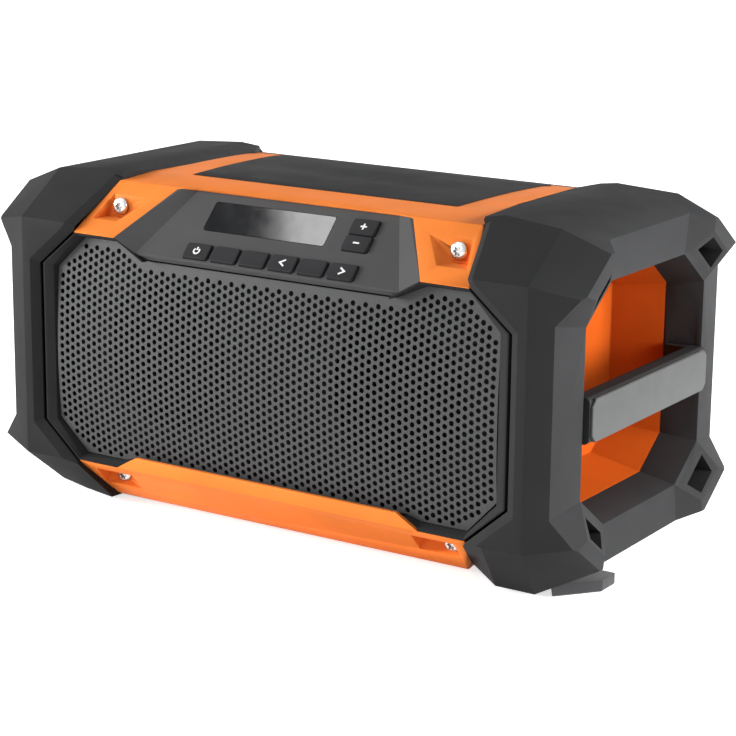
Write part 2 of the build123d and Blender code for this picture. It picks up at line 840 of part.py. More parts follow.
def notch_box(screw_z, up, side, wall):
    """Box that lets a trim screw sit upright in the bevel, grown by a wall: centre and size."""
    near_x = trim_notch_inner_x - wall
    far_x = trim_notch_outer_x + wall
    back_y = -(trim_notch_y - wall)
    low = screw_z - up * (trim_notch_half_height + wall)
    high = screw_z + up * 30.0
    centre = (side * (near_x + far_x) / 2, back_y - 20.0, (low + high) / 2)
    return centre, (far_x - near_x, 40.0, abs(high - low))


with BuildPart() as casing_form:
    with BuildSketch(section_plane(-casing_half)):
        Polygon(*casing_section, align=None)
    extrude(amount=2 * casing_half)
    # Wings behind the grille frame and, at the rear, beside the end caps.
    for side in (-1, 1):
        start = trim_front_y - trim_thickness if side < 0 else trim_front_y
        with BuildSketch(front_plane(-side * start)):
            Polygon(*frame_outline(wing_inset, wing_inset), align=None)
        extrude(amount=side * (start - wing_back_y))
    # The rear bevels are as full as the trims in front.
    extrude(trim_face(section_plane(-casing_half), side=1), amount=2 * casing_half)
    with BuildSketch(panel_plane.offset(-panel_thickness)):
        Polygon(*panel_outline, align=None)
    extrude(amount=panel_reach + panel_thickness, mode=Mode.SUBTRACT)
    for screw_z, up in notch_z.items():
        for side in (-1, 1):
            centre, size = notch_box(screw_z, up, side, trim_notch_wall)
            with Locations(centre):
                Box(*size, mode=Mode.SUBTRACT)
    # Under the caps the rear bevels step in to the casing.
    for side in (-1, 1):
        add(right_end_cap.part if side > 0 else left_end_cap.part, mode=Mode.SUBTRACT)


def frame_prism(gap):
    """Everything in front of the casing's seat for the grille frame, grown by a gap."""
    with BuildPart() as prism:
        with BuildSketch(front_plane(frame_back_y)):
            Polygon(*frame_outline(-gap, -gap), align=None)
        extrude(amount=cap_half_depth)
    return prism.part


frame_space = frame_prism(0)
frame_clearance = frame_prism(seat_gap)
baffle_back_y = baffle_y - baffle_wall
shell_half = casing_half - casing_wall
well_spots = [(side * well_x, z) for side in (-1, 1) for z in (well_low_z, well_high_z)]
pocket_inset = frame_wall_inset + grille_land

with BuildPart() as front_housing:
    add(casing_form.part)
    split(bisect_by=Plane.XZ.offset(-seal_y), keep=Keep.TOP)
    add(frame_space, mode=Mode.SUBTRACT)
    # Hollow behind the baffle.
    with BuildSketch(section_plane(-shell_half)):
        Polygon(*front_inner_section, align=None)
        with Locations((-baffle_back_y - cut_span / 2, mid_z)):
            Rectangle(cut_span, cut_span, mode=Mode.SUBTRACT)
    extrude(amount=2 * shell_half, mode=Mode.SUBTRACT)
    # Shallow pocket for the grille, and the loudspeakers' openings.
    with BuildSketch(front_plane(baffle_y)):
        Polygon(*frame_outline(pocket_inset, frame_rail, frame_middle_rail), align=None)
    extrude(amount=frame_back_y - baffle_y, mode=Mode.SUBTRACT)
    with BuildSketch(front_plane(baffle_back_y)):
        with Locations((-speaker_x, speaker_z), (speaker_x, speaker_z)):
            Circle(speaker_opening)
    extrude(amount=baffle_wall, mode=Mode.SUBTRACT)
    # Pocket that the control board lies in, and room for the panel's shelf below it.
    with BuildSketch(panel_plane.offset(-board_depth - board_thickness)):
        Polygon(*board_outline(panel_foot_y, 0), align=None)
    extrude(amount=board_depth, mode=Mode.SUBTRACT)
    with BuildSketch(front_plane(frame_back_y)):
        with Locations((0, frame_top_z)):
            Rectangle(2 * panel_bottom_half, 8.0)
    extrude(amount=frame_front_y - frame_back_y, mode=Mode.SUBTRACT)
    with BuildSketch(front_plane(trim_notch_y - trim_notch_wall)):
        with Locations(*screw_spots[1], *screw_spots[-1]):
            Circle(screw_shank)
    extrude(amount=-screw_length, mode=Mode.SUBTRACT)
    # Posts for the casing screws.
    with BuildSketch(front_plane(-seal_y)):
        with Locations(*well_spots):
            Circle(post_radius)
    extrude(amount=baffle_back_y + seal_y)
    with BuildSketch(front_plane(-seal_y)):
        with Locations(*well_spots):
            Circle(screw_shank)
    extrude(amount=casing_screw_length, mode=Mode.SUBTRACT)
save(front_housing, "front_housing")

seal_back_y = seal_y + seal_thickness

with BuildPart() as housing_seal:
    with BuildSketch(rear_plane(seal_y)):
        with Locations((0, (casing_bottom_z + casing_top_z) / 2)):
            Rectangle(2 * casing_half, casing_top_z - casing_bottom_z)
            offset(amount=-casing_wall, kind=Kind.INTERSECTION, mode=Mode.SUBTRACT)
    extrude(amount=seal_thickness)
save(housing_seal, "housing_seal")

socket_at = (-socket_x, socket_z)
socket_floor_y = trim_front_y - socket_recess
dock_at = (-dock_x, (dock_bottom_z + dock_top_z) / 2)
dock_height = dock_top_z - dock_bottom_z
door_low_z = socket_z - socket_plate_height / 2
hinge_y = trim_front_y - hinge_radius
hinge_z = door_low_z + hinge_radius + door_gap

with BuildPart() as rear_housing:
    add(casing_form.part)
    split(bisect_by=Plane.XZ.offset(-seal_back_y), keep=Keep.BOTTOM)
    with BuildSketch(section_plane(-shell_half)):
        Polygon(*inner_section, align=None)
    extrude(amount=2 * shell_half, mode=Mode.SUBTRACT)
    with BuildSketch(section_plane(-cap_inner_x + casing_wall)):
        Polygon(*rear_inner_section, align=None)
    extrude(amount=2 * (cap_inner_x - casing_wall), mode=Mode.SUBTRACT)
    # Wells for the casing screws.
    with BuildSketch(rear_plane(seal_back_y)):
        with Locations(*well_spots):
            Circle(well_boss)
    extrude(amount=trim_front_y - seal_back_y)
    with BuildSketch(rear_plane(well_floor_y)):
        with Locations(*well_spots):
            Circle(well_radius)
    extrude(amount=trim_front_y - well_floor_y, mode=Mode.SUBTRACT)
    with BuildSketch(rear_plane(seal_back_y)):
        with Locations(*well_spots):
            Circle(screw_shank)
    extrude(amount=well_floor_y - seal_back_y, mode=Mode.SUBTRACT)
    # Recess for the sockets, closed by their cover.
    with BuildSketch(rear_plane(socket_floor_y - casing_wall)):
        with Locations(socket_at):
            Rectangle(
                socket_plate_width + 2 * dock_wall,
                socket_plate_height + 2 * dock_wall,
            )
    extrude(amount=socket_recess)
    with BuildSketch(rear_plane(socket_floor_y)):
        with Locations(socket_at):
            Rectangle(socket_plate_width, socket_plate_height)
    extrude(amount=socket_recess, mode=Mode.SUBTRACT)
    # Bearing holes for the cover's pins.
    with BuildSketch(section_plane(socket_x - socket_plate_width / 2 - hinge_pin_length)):
        with Locations((hinge_y, hinge_z)):
            Circle(hinge_pin + seat_gap / 2)
    extrude(amount=socket_plate_width + 2 * hinge_pin_length, mode=Mode.SUBTRACT)
    # Opening for the battery dock.
    with BuildSketch(rear_plane(trim_front_y - dock_flange)):
        with Locations(dock_at):
            Rectangle(
                2 * (dock_half_width + dock_flange_width),
                dock_height + 2 * dock_flange_width,
            )
    extrude(amount=dock_flange, mode=Mode.SUBTRACT)
    with BuildSketch(rear_plane(trim_front_y - 3 * inner_depth)):
        with Locations(dock_at):
            Rectangle(2 * (dock_half_width + dock_wall), dock_height + 2 * dock_wall)
    extrude(amount=3 * inner_depth, mode=Mode.SUBTRACT)
save(rear_housing, "rear_housing")

# ---------------------------------------------------------------------------------------------
# Grille, its frame and the loudspeakers
# ---------------------------------------------------------------------------------------------

opening_deep = frame_outline(frame_wall_inset, frame_rail, frame_middle_rail)
opening_drafted = frame_outline(frame_slope_inset, frame_rail * 0.5, frame_middle_rail)
opening_rim = frame_outline(frame_rim, frame_rim * 0.5, frame_middle_rail * 0.5)

with BuildPart() as grille_frame:
    with BuildSketch(front_plane(frame_back_y)):
        Polygon(*frame_outline(0, 0), align=None)
    extrude(amount=frame_front_y - frame_back_y)
    # Inside a narrow rim the walls slope back, and drop to the grille.
    with BuildSketch(front_plane(frame_back_y)):
        Polygon(*opening_deep, align=None)
    extrude(amount=frame_draft_y - frame_back_y, mode=Mode.SUBTRACT)
    loft(
        [
            polygon_face(front_plane(frame_draft_y), opening_deep),
            polygon_face(front_plane(frame_slope_y), opening_drafted),
            polygon_face(front_plane(frame_front_y), opening_rim),
        ],
        ruled=True,
        mode=Mode.SUBTRACT,
    )
    # Over the middle both rails are low tabs, behind the panel's shelf and the trim's lip.
    with BuildSketch(front_plane(frame_tab_y)):
        with Locations((0, frame_top_z)):
            Rectangle(2 * frame_top_step_x, overrun)
        with Locations((0, frame_bottom_z)):
            Rectangle(2 * frame_bottom_step_x, 2 * frame_middle_rail + seat_gap)
    extrude(amount=frame_front_y - frame_tab_y, mode=Mode.SUBTRACT)
    with BuildSketch(front_plane(trim_front_y - lip_thickness - seat_gap)):
        Polygon(*lip_outline(seat_gap), align=None)
    extrude(amount=lip_thickness + seat_gap, mode=Mode.SUBTRACT)
save(grille_frame, "grille_frame")

row_step = perforation_pitch * sqrt(3) / 2
facet_height = grille_rows_per_facet * row_step
grille_low_z = frame_corner_bottom_z
facet_count = int((frame_corner_top_z - grille_low_z) / facet_height) + 2
perforation_half_width = frame_half_width - perforation_margin
column_count = int(perforation_half_width / perforation_pitch) + 1
hole_clearance = perforation + 2.5


def bow_depth(z):
    """How far ahead of the middle the grille's front stands at a height."""
    return grille_front_y - (z - grille_middle_z) ** 2 / (2 * grille_bow_radius)


def in_grille(x, z):
    """True where a hole keeps its land to the grille's stepped edge."""
    over_step = abs(x) > frame_bottom_step_x + frame_bottom_step_run
    over_top_step = abs(x) > frame_top_step_x + frame_top_step_run
    low = frame_corner_bottom_z if over_step else frame_bottom_z
    high = frame_corner_top_z if over_top_step else frame_top_z
    corner = max(abs(x) - frame_corner_x + frame_wall_inset, 0)
    low += corner * (frame_side_bottom_z - frame_corner_bottom_z) / (frame_half_width - frame_corner_x)
    high -= corner * (frame_corner_top_z - frame_side_top_z) / (frame_half_width - frame_corner_x)
    return low + hole_clearance < z < high - hole_clearance and abs(x) < perforation_half_width


facet_edges = [grille_low_z + facet_height * step for step in range(facet_count)]
grille_front = [(-bow_depth(z), z) for z in facet_edges]
grille_back = [(y + grille_thickness, z) for y, z in reversed(grille_front)]

with BuildPart() as speaker_grille:
    # A sheet bowed about X in flat bands, cut to the frame's outline, then perforated.
    with BuildSketch(section_plane(-frame_half_width)):
        Polygon(*grille_front, *grille_back, align=None)
    extrude(amount=2 * frame_half_width)
    with BuildSketch(front_plane(baffle_y)):
        Polygon(
            *frame_outline(
                frame_wall_inset + seat_gap, frame_rail + seat_gap, frame_middle_rail + seat_gap
            ),
            align=None,
        )
    extrude(amount=frame_slope_y - baffle_y, mode=Mode.INTERSECT)
    with BuildSketch(front_plane(baffle_y)):
        for row in range(grille_rows_per_facet * facet_count):
            row_z = grille_low_z + (row + 0.5) * row_step
            shift = perforation_pitch / 2 if row % 2 else 0
            spots = [
                (column * perforation_pitch + shift, row_z)
                for column in range(-column_count, column_count + 1)
                if in_grille(column * perforation_pitch + shift, row_z)
            ]
            if spots:
                with Locations(*spots):
                    RegularPolygon(perforation, 6)
    extrude(amount=frame_slope_y - baffle_y, mode=Mode.SUBTRACT)
save(speaker_grille, "speaker_grille")

flange_seat_y = baffle_back_y
basket_profile = [
    (speaker_cone_radius + 2.0, 0),
    (speaker_flange, 0),
    (speaker_flange, speaker_flange_thickness),
    (speaker_opening + 0.5, speaker_flange_thickness),
    (magnet_radius + 1.0, basket_depth - 3.0),
    (magnet_radius + 1.0, basket_depth),
    (8.0, basket_depth),
    (8.0, basket_depth - 1.8),
    (magnet_radius - 1.0, basket_depth - 1.8),
    (magnet_radius - 1.0, basket_depth - 3.4),
    (speaker_cone_radius + 2.0, speaker_flange_thickness + 1.0),
]
cone_profile = [
    (0, basket_depth - 13.0),
    (dust_cap_radius, basket_depth - 9.8),
    (speaker_cone_radius - 1.0, -1.6),
    (speaker_opening - 0.4, -1.6),
    (speaker_opening - 0.4, 0),
    (speaker_cone_radius - 0.4, 0),
    (dust_cap_radius + 0.2, basket_depth - 8.0),
    (0, basket_depth - 11.0),
]

for side, side_name in ((-1, "left"), (1, "right")):
    speaker_plane = Plane(origin=(side * speaker_x, -flange_seat_y, speaker_z))
    speaker_axis = Axis((side * speaker_x, -flange_seat_y, speaker_z), (0, 1, 0))
    with BuildPart() as basket:
        with BuildSketch(speaker_plane):
            Polygon(*basket_profile, align=None)
        revolve(axis=speaker_axis)
        with BuildSketch(rear_plane(-flange_seat_y + speaker_flange_thickness + 3.0)):
            with Locations((-side * speaker_x, speaker_z)):
                with PolarLocations((speaker_opening + magnet_radius) / 2, 6, start_angle=90):
                    RegularPolygon(basket_window, 6)
        extrude(amount=basket_depth - speaker_flange_thickness - 6.5, mode=Mode.SUBTRACT)
    save(basket, f"{side_name}_speaker_basket")
    with BuildPart() as cone:
        with BuildSketch(speaker_plane):
            Polygon(*cone_profile, align=None)
        revolve(axis=speaker_axis)
    save(cone, f"{side_name}_speaker_cone")
    with BuildPart() as magnet:
        with BuildSketch(rear_plane(-flange_seat_y + basket_depth)):
            with Locations((-side * speaker_x, speaker_z)):
                Circle(magnet_radius)
        extrude(amount=magnet_height)
        chamfer(magnet.edges().group_by(Axis.Y)[-1], length=1.0)
    save(magnet, f"{side_name}_speaker_magnet")

# ---------------------------------------------------------------------------------------------
# Control panel, its display and its keys
# ---------------------------------------------------------------------------------------------

wall_spread = panel_rise / wall_slope
panel_growth = (panel_bottom_half - panel_top_half) / (2 * panel_half_height)
recess_foot_half = panel_bottom_half + panel_growth * (-panel_half_height - panel_foot_y)
recess_low = mirrored([
    (recess_foot_half, panel_foot_y),
    (panel_top_half, panel_half_height),
])
recess_high = mirrored([
    (recess_foot_half + wall_spread, panel_foot_y),
    (panel_top_half + wall_spread, panel_half_height),
])
window_x = window_left + window_width / 2
window_y = window_bottom + window_height / 2
key_spots = {
    "button_power": (key_first_x, key_row_y),
    "button_pairing": (key_first_x + key_pitch, key_row_y),
    "button_source": (key_first_x + 2 * key_pitch, key_row_y),
    "button_previous": (key_first_x + 3 * key_pitch, key_row_y),
    "button_preset": (key_first_x + 4 * key_pitch, key_row_y),
    "button_next": (key_first_x + 5 * key_pitch, key_row_y),
    "button_volume_up": (volume_x, volume_up_y),
    "button_volume_down": (volume_x, volume_down_y),
}
switch_spots = [(x, y + switch_shift) for x, y in key_spots.values()]
panel_block_depth = panel_reach + panel_thickness

with BuildPart() as panel_prism:
    with BuildSketch(panel_plane.offset(-panel_thickness)):
        Polygon(*panel_outline, align=None)
    extrude(amount=panel_block_depth)

lip_bottom_z = frame_top_z + seat_gap
lip_section = [
    (-panel_lip_y, lip_bottom_z),
    (-frame_back_y - seat_gap, lip_bottom_z),
    (-frame_back_y - seat_gap, lip_bottom_z + panel_shelf),
    (-panel_lip_y + panel_lip_depth, lip_bottom_z + panel_shelf),
    (-panel_lip_y + panel_lip_depth, panel_lip_z + 1.5),
    (-panel_lip_y, panel_lip_z + 0.5),
]
lip_cut = [
    (-panel_lip_y, panel_lip_z + 14),
    (-panel_lip_y, panel_lip_z),
    (-panel_lip_y + panel_lip_chamfer, lip_bottom_z),
    (-panel_lip_y + panel_lip_chamfer, lip_bottom_z - 5),
    (-trim_front_y - 2, lip_bottom_z - 5),
    (-trim_front_y - 2, panel_lip_z + 14),
]

with BuildPart() as control_panel:
    add(panel_prism.part)
    with BuildSketch(section_plane(-panel_bottom_half)):
        Polygon(*lip_section, align=None)
    extrude(amount=2 * panel_bottom_half)
    extrude(trim_face(section_plane(-casing_half)), amount=2 * casing_half, mode=Mode.INTERSECT)
    add(frame_clearance, mode=Mode.SUBTRACT)
    loft(
        [
            polygon_face(panel_plane, recess_low),
            polygon_face(panel_plane.offset(panel_rise), recess_high),
        ],
        ruled=True,
        mode=Mode.SUBTRACT,
    )
    # The face ends a little behind the trims' front, over a chamfered lip.
    with BuildSketch(section_plane(-panel_bottom_half)):
        Polygon(*lip_cut, align=None)
    extrude(amount=2 * panel_bottom_half, mode=Mode.SUBTRACT)
    # Window: a seat for the lens round the opening for the display.
    with BuildSketch(panel_plane):
        with Locations((window_x, window_y)):
            add(cut_rectangle(window_width, window_height, key_corner))
    extrude(amount=-lens_thickness, mode=Mode.SUBTRACT)
    with BuildSketch(panel_plane):
        with Locations((window_x, window_y)):
            Rectangle(window_width - 2 * window_lip, window_height - 2 * window_lip)
        with Locations(*key_spots.values()):
            add(cut_rectangle(key_width + 2 * key_gap, key_height + 2 * key_gap, key_corner))
    extrude(amount=-panel_thickness, mode=Mode.SUBTRACT)
save(control_panel, "control_panel")

with BuildPart() as display_lens:
    with BuildSketch(panel_plane.offset(-lens_thickness)):
        with Locations((window_x, window_y)):
            add(cut_rectangle(window_width - lens_gap, window_height - lens_gap, key_corner))
    extrude(amount=lens_thickness)
save(display_lens, "display_lens")

with BuildPart() as control_board:
    with BuildSketch(panel_plane.offset(-board_depth - board_thickness)):
        Polygon(*board_outline(board_low_y, seat_gap), align=None)
    extrude(amount=board_thickness)
    # A key switch under the middle of each key.
    switch_height = board_depth - panel_thickness - key_flange - 2 * seat_gap - key_travel
    with BuildSketch(panel_plane.offset(-board_depth)):
        with Locations(*switch_spots):
            Rectangle(switch_side, switch_side)
    extrude(amount=switch_height - 0.5)
    with BuildSketch(panel_plane.offset(-board_depth)):
        with Locations(*switch_spots):
            Rectangle(switch_side * 0.55, switch_side * 0.55)
    extrude(amount=switch_height)
save(control_board, "control_board")

with BuildPart() as display_module:
    with BuildSketch(panel_plane.offset(-board_depth)):
        with Locations((window_x, window_y)):
            Rectangle(window_width - 4, window_height - 4)
    extrude(amount=board_depth - panel_thickness - seat_gap)
save(display_module, "display_module")

for key_name, spot in key_spots.items():
    with BuildPart() as key:
        with BuildSketch(panel_plane.offset(-panel_thickness - key_flange)):
            with Locations(spot):
                add(cut_rectangle(key_width, key_height, key_corner))
        extrude(amount=panel_thickness + key_flange + key_stand)
        chamfer(key.faces().sort_by(panel_axis)[-1].edges(), length=0.5)
        with BuildSketch(panel_plane.offset(-panel_thickness - seat_gap - key_flange)):
            with Locations(spot):
                Rectangle(key_width + 2 * key_flange, key_height - 0.6)
        extrude(amount=key_flange)
    save(key, key_name)

# ---------------------------------------------------------------------------------------------
# Trims, inlay and their screws
# ---------------------------------------------------------------------------------------------

trim_reach = frame_corner_x
with BuildPart() as trim_form:
    extrude(trim_face(section_plane(-trim_reach), side=-1), amount=2 * trim_reach)
    add(trim_core.part, mode=Mode.INTERSECT)
    add(frame_clearance, mode=Mode.SUBTRACT)
    add(casing_form.part, mode=Mode.SUBTRACT)
    add(panel_prism.part, mode=Mode.SUBTRACT)
    # Notches that let the screws sit upright in the bevels.
    for screw_z, up in notch_z.items():
        for side in (-1, 1):
            centre, size = notch_box(screw_z, up, side, 0)
            with Locations(centre):
                Box(*size, mode=Mode.SUBTRACT)
    # The middle of the top rail belongs to the panel's shelf.
    with BuildSketch(front_plane(frame_back_y)):
        with Locations((0, frame_top_z)):
            Rectangle(2 * panel_bottom_half, overrun)
    extrude(amount=overrun + frame_front_y - frame_back_y, mode=Mode.SUBTRACT)

inlay_plan = mirrored([(inlay_front_half, inlay_front_y), (inlay_rear_half, inlay_rear_y)])

with BuildPart() as top_trim:
    add(trim_form.part)
    split(bisect_by=Plane.XY.offset(mid_z), keep=Keep.TOP)
    with BuildSketch(Plane.XY.offset(crown_z - inlay_depth)):
        Polygon(*inlay_plan, align=None)
    extrude(amount=inlay_depth + 5, mode=Mode.SUBTRACT)
    with BuildSketch(front_plane(trim_notch_y)):
        with Locations(*screw_spots[1]):
            Circle(screw_shank)
    extrude(amount=-screw_length, mode=Mode.SUBTRACT)
save(top_trim, "top_trim")

with BuildPart() as bottom_trim:
    add(trim_form.part)
    split(bisect_by=Plane.XY.offset(mid_z), keep=Keep.BOTTOM)
    # Lip that stands in front of the frame's lower tab.
    with BuildSketch(front_plane(trim_front_y - lip_thickness)):
        Polygon(*lip_outline(0), align=None)
    extrude(amount=lip_thickness)
    with BuildSketch(front_plane(trim_notch_y)):
        with Locations(*screw_spots[-1]):
            Circle(screw_shank)
    extrude(amount=-screw_length, mode=Mode.SUBTRACT)
save(bottom_trim, "bottom_trim")

with BuildPart() as top_inlay:
    with BuildSketch(Plane.XY.offset(crown_z - inlay_depth)):
        Polygon(*inlay_plan, align=None)
        offset(amount=-seat_gap, kind=Kind.INTERSECTION)
    extrude(amount=inlay_depth + 5)
    with BuildSketch(section_plane(-inlay_rear_half)):
        with BuildLine():
            ThreePointArc(
                (-crown_y, crown_z + inlay_rise),
                (0, crown_top_z + inlay_rise),
                (crown_y, crown_z + inlay_rise),
            )
            Polyline(
                (crown_y, crown_z + inlay_rise),
                (inlay_rear_y, crown_z - 0.6),
                (inlay_rear_y, crown_z - inlay_depth),
                (-crown_y, crown_z - inlay_depth),
                (-crown_y, crown_z + inlay_rise),
            )
        make_face()
    extrude(amount=2 * inlay_rear_half, mode=Mode.INTERSECT)
save(top_inlay, "top_inlay")


def pan_screw(plane, spots, head_height, length):
    """Pan-head screws with a hexalobular drive, heads outward from the plane."""
    with BuildPart() as screws:
        with BuildSketch(plane):
            with Locations(*spots):
                Circle(screw_head)
        extrude(amount=head_height)
        rims = screws.edges().group_by(Axis.Y)[-1 if plane.z_dir.Y > 0 else 0]
        chamfer(rims, length=screw_edge)
        with BuildSketch(plane):
            with Locations(*spots):
                Circle(screw_shank - screw_clearance)
        extrude(amount=-length)
        with BuildSketch(plane.offset(head_height)):
            with Locations(*spots):
                RegularPolygon(screw_drive, 6)
        extrude(amount=-head_height * 0.6, mode=Mode.SUBTRACT)
    return screws


trim_screws = pan_screw(
    front_plane(trim_notch_y), screw_spots[1] + screw_spots[-1], screw_head_height, screw_length
)
save(trim_screws, "trim_screws")

rear_screws = pan_screw(
    rear_plane(well_floor_y), well_spots, screw_head_height, casing_screw_length
)
save(rear_screws, "rear_screws")

# ---------------------------------------------------------------------------------------------
# Battery dock, sockets and their cover, boards
# ---------------------------------------------------------------------------------------------

dock_floor_y = trim_front_y - dock_depth
dock_back_y = dock_floor_y - dock_wall

with BuildPart() as battery_dock:
    with BuildSketch(rear_plane(dock_back_y)):
        with Locations(dock_at):
            Rectangle(2 * (dock_half_width + dock_wall), dock_height + 2 * dock_wall)
    extrude(amount=dock_depth + dock_wall - 0.2)
    with BuildSketch(rear_plane(trim_front_y - dock_flange)):
        with Locations(dock_at):
            Rectangle(
                2 * (dock_half_width + dock_flange_width) - 2 * seat_gap,
                dock_height + 2 * dock_flange_width - 2 * seat_gap,
            )
    extrude(amount=dock_flange - 0.2)
    with BuildSketch(rear_plane(dock_floor_y)):
        with Locations(dock_at):
            Rectangle(2 * dock_half_width, dock_height)
    extrude(amount=dock_depth, mode=Mode.SUBTRACT)
    # Rails that hold the pack's foot, open at the top.
    for side in (-1, 1):
        rail_x = -dock_x + side * (rail_gap_half + rail_depth / 2)
        with BuildSketch(rear_plane(dock_floor_y)):
            with Locations((rail_x + side * rail_depth, rail_bottom_z + rail_length / 2)):
                Rectangle(rail_depth, rail_length)
        extrude(amount=rail_setback)
        with BuildSketch(rear_plane(dock_floor_y + rail_setback - rail_thickness)):
            with Locations((rail_x + side * rail_depth / 2, rail_bottom_z + rail_length / 2)):
                Rectangle(2 * rail_depth, rail_length)
        extrude(amount=rail_thickness)
    # Posts that carry the main board.
    with BuildSketch(rear_plane(dock_back_y - post_length)):
        with Locations(dock_at):
            with GridLocations(board_post_pitch_x, board_post_pitch_z, 2, 2):
                Circle(3.0)
    extrude(amount=post_length)
save(battery_dock, "battery_dock")

with BuildPart() as terminal_block:
    with BuildSketch(rear_plane(dock_floor_y)):
        with Locations((-dock_x, rail_bottom_z + terminal_height / 2)):
            Rectangle(terminal_width, terminal_height)
    extrude(amount=terminal_depth)
    chamfer(terminal_block.edges().filter_by(Axis.Y), length=1.0)
save(terminal_block, "terminal_block")

with BuildPart() as terminal_blades:
    with BuildSketch(Plane.XY.offset(rail_bottom_z + terminal_height)):
        with Locations((dock_x, dock_floor_y + terminal_depth * 0.45)):
            with GridLocations(blade_pitch, 0, blade_count, 1):
                Rectangle(blade_thickness, blade_width)
    extrude(amount=blade_length)
save(terminal_blades, "terminal_blades")

socket_spots = {
    "usb_socket": (-socket_x, socket_z + socket_pitch),
    "aux_socket": (-socket_x, socket_z),
    "dc_socket": (-socket_x, socket_z - socket_pitch),
}

with BuildPart() as socket_plate:
    with BuildSketch(rear_plane(socket_floor_y)):
        with Locations(socket_at):
            Rectangle(
                socket_plate_width - 2 * seat_gap, socket_plate_height - 2 * seat_gap
            )
        with Locations(socket_spots["usb_socket"]):
            Rectangle(usb_width + 0.4, usb_height + 0.4, mode=Mode.SUBTRACT)
        with Locations(socket_spots["aux_socket"], socket_spots["dc_socket"]):
            Circle(jack_radius + 0.2, mode=Mode.SUBTRACT)
    extrude(amount=socket_plate_thickness)
save(socket_plate, "socket_plate")

with BuildPart() as usb_socket:
    with BuildSketch(rear_plane(socket_floor_y)):
        with Locations(socket_spots["usb_socket"]):
            Rectangle(usb_width, usb_height)
    extrude(amount=jack_stand)
    with BuildSketch(rear_plane(socket_floor_y + 1)):
        with Locations(socket_spots["usb_socket"]):
            Rectangle(usb_width - 1.2, usb_height - 1.2)
        with Locations((-socket_x, socket_z + socket_pitch + 1)):
            Rectangle(usb_width - 4, 2.0, mode=Mode.SUBTRACT)
    extrude(amount=jack_stand, mode=Mode.SUBTRACT)
save(usb_socket, "usb_socket")

for jack_name, bore in (("aux_socket", 1.75), ("dc_socket", 2.75)):
    with BuildPart() as jack:
        with BuildSketch(rear_plane(socket_floor_y)):
            with Locations(socket_spots[jack_name]):
                Circle(jack_radius)
        extrude(amount=jack_stand)
        with BuildSketch(rear_plane(socket_floor_y + 1)):
            with Locations(socket_spots[jack_name]):
                Circle(bore)
        extrude(amount=jack_stand, mode=Mode.SUBTRACT)
    save(jack, jack_name)

with BuildPart() as port_cover:
    with BuildSketch(rear_plane(trim_front_y - door_thickness)):
        with Locations((-socket_x, (hinge_z + socket_z + socket_plate_height / 2) / 2)):
            Rectangle(
                socket_plate_width - 2 * door_gap,
                socket_z + socket_plate_height / 2 - hinge_z - door_gap,
            )
    extrude(amount=door_thickness)
    # Finger lip at the free edge, rounded barrel and pins at the hinge.
    with BuildSketch(rear_plane(trim_front_y)):
        with Locations((-socket_x, socket_z + socket_plate_height / 2 - door_gap - 3)):
            RectangleRounded(door_lip_width, 3.0, 1.4)
    extrude(amount=door_lip)
    with BuildSketch(section_plane(socket_x - socket_plate_width / 2 + door_gap)):
        with Locations((hinge_y, hinge_z)):
            Circle(hinge_radius)
    extrude(amount=socket_plate_width - 2 * door_gap)
    pin_reach = socket_plate_width / 2 + hinge_pin_length - seat_gap
    with BuildSketch(section_plane(socket_x - pin_reach)):
        with Locations((hinge_y, hinge_z)):
            Circle(hinge_pin)
    extrude(amount=2 * pin_reach)
save(port_cover, "port_cover")

main_board_y = dock_back_y - post_length - board_thickness
with BuildPart() as main_board:
    with BuildSketch(rear_plane(main_board_y)):
        with Locations(dock_at):
            Rectangle(board_post_pitch_x + 12, board_post_pitch_z + 12)
    extrude(amount=board_thickness)
    # Larger components on the side that faces the loudspeakers.
    with BuildSketch(rear_plane(main_board_y - 9)):
        with Locations(dock_at):
            with GridLocations(24, 0, 3, 1):
                Circle(5.0)
    extrude(amount=9)
save(main_board, "main_board")

with BuildPart() as heat_sink:
    sink_z = dock_bottom_z + 24.0
    with BuildSketch(rear_plane(main_board_y - sink_base)):
        with Locations((-dock_x, sink_z)):
            Rectangle(sink_width, sink_height)
    extrude(amount=sink_base)
    with BuildSketch(rear_plane(main_board_y - sink_base - sink_fin)):
        with Locations((-dock_x, sink_z)):
            with GridLocations(sink_fin_pitch, 0, sink_fins, 1):
                Rectangle(1.2, sink_height)
    extrude(amount=sink_fin)
save(heat_sink, "heat_sink")

with BuildPart() as antenna_strip:
    with BuildSketch(Plane.XY.offset(casing_top_z - casing_wall)):
        with Locations((0, antenna_y)):
            Rectangle(antenna_length, antenna_width)
    extrude(amount=-antenna_thickness)
save(antenna_strip, "antenna_strip")
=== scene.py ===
import json
from math import cos, pi, radians, sin, sqrt

import bmesh
import bpy
from mathutils import Matrix, Vector
from mathutils.geometry import delaunay_2d_cdt


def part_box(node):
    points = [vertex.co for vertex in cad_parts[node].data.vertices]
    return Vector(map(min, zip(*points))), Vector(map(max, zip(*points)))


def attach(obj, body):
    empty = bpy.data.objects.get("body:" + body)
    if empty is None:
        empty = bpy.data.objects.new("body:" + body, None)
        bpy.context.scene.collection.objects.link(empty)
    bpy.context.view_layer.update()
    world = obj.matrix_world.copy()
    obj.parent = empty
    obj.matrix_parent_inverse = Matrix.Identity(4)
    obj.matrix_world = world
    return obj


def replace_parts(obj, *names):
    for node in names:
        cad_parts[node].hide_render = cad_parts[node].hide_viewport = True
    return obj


# Jobsite radio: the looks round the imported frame. Metres where no comment says millimetres; +X is
# the radio's right-hand end, -Y its front, +Z up.

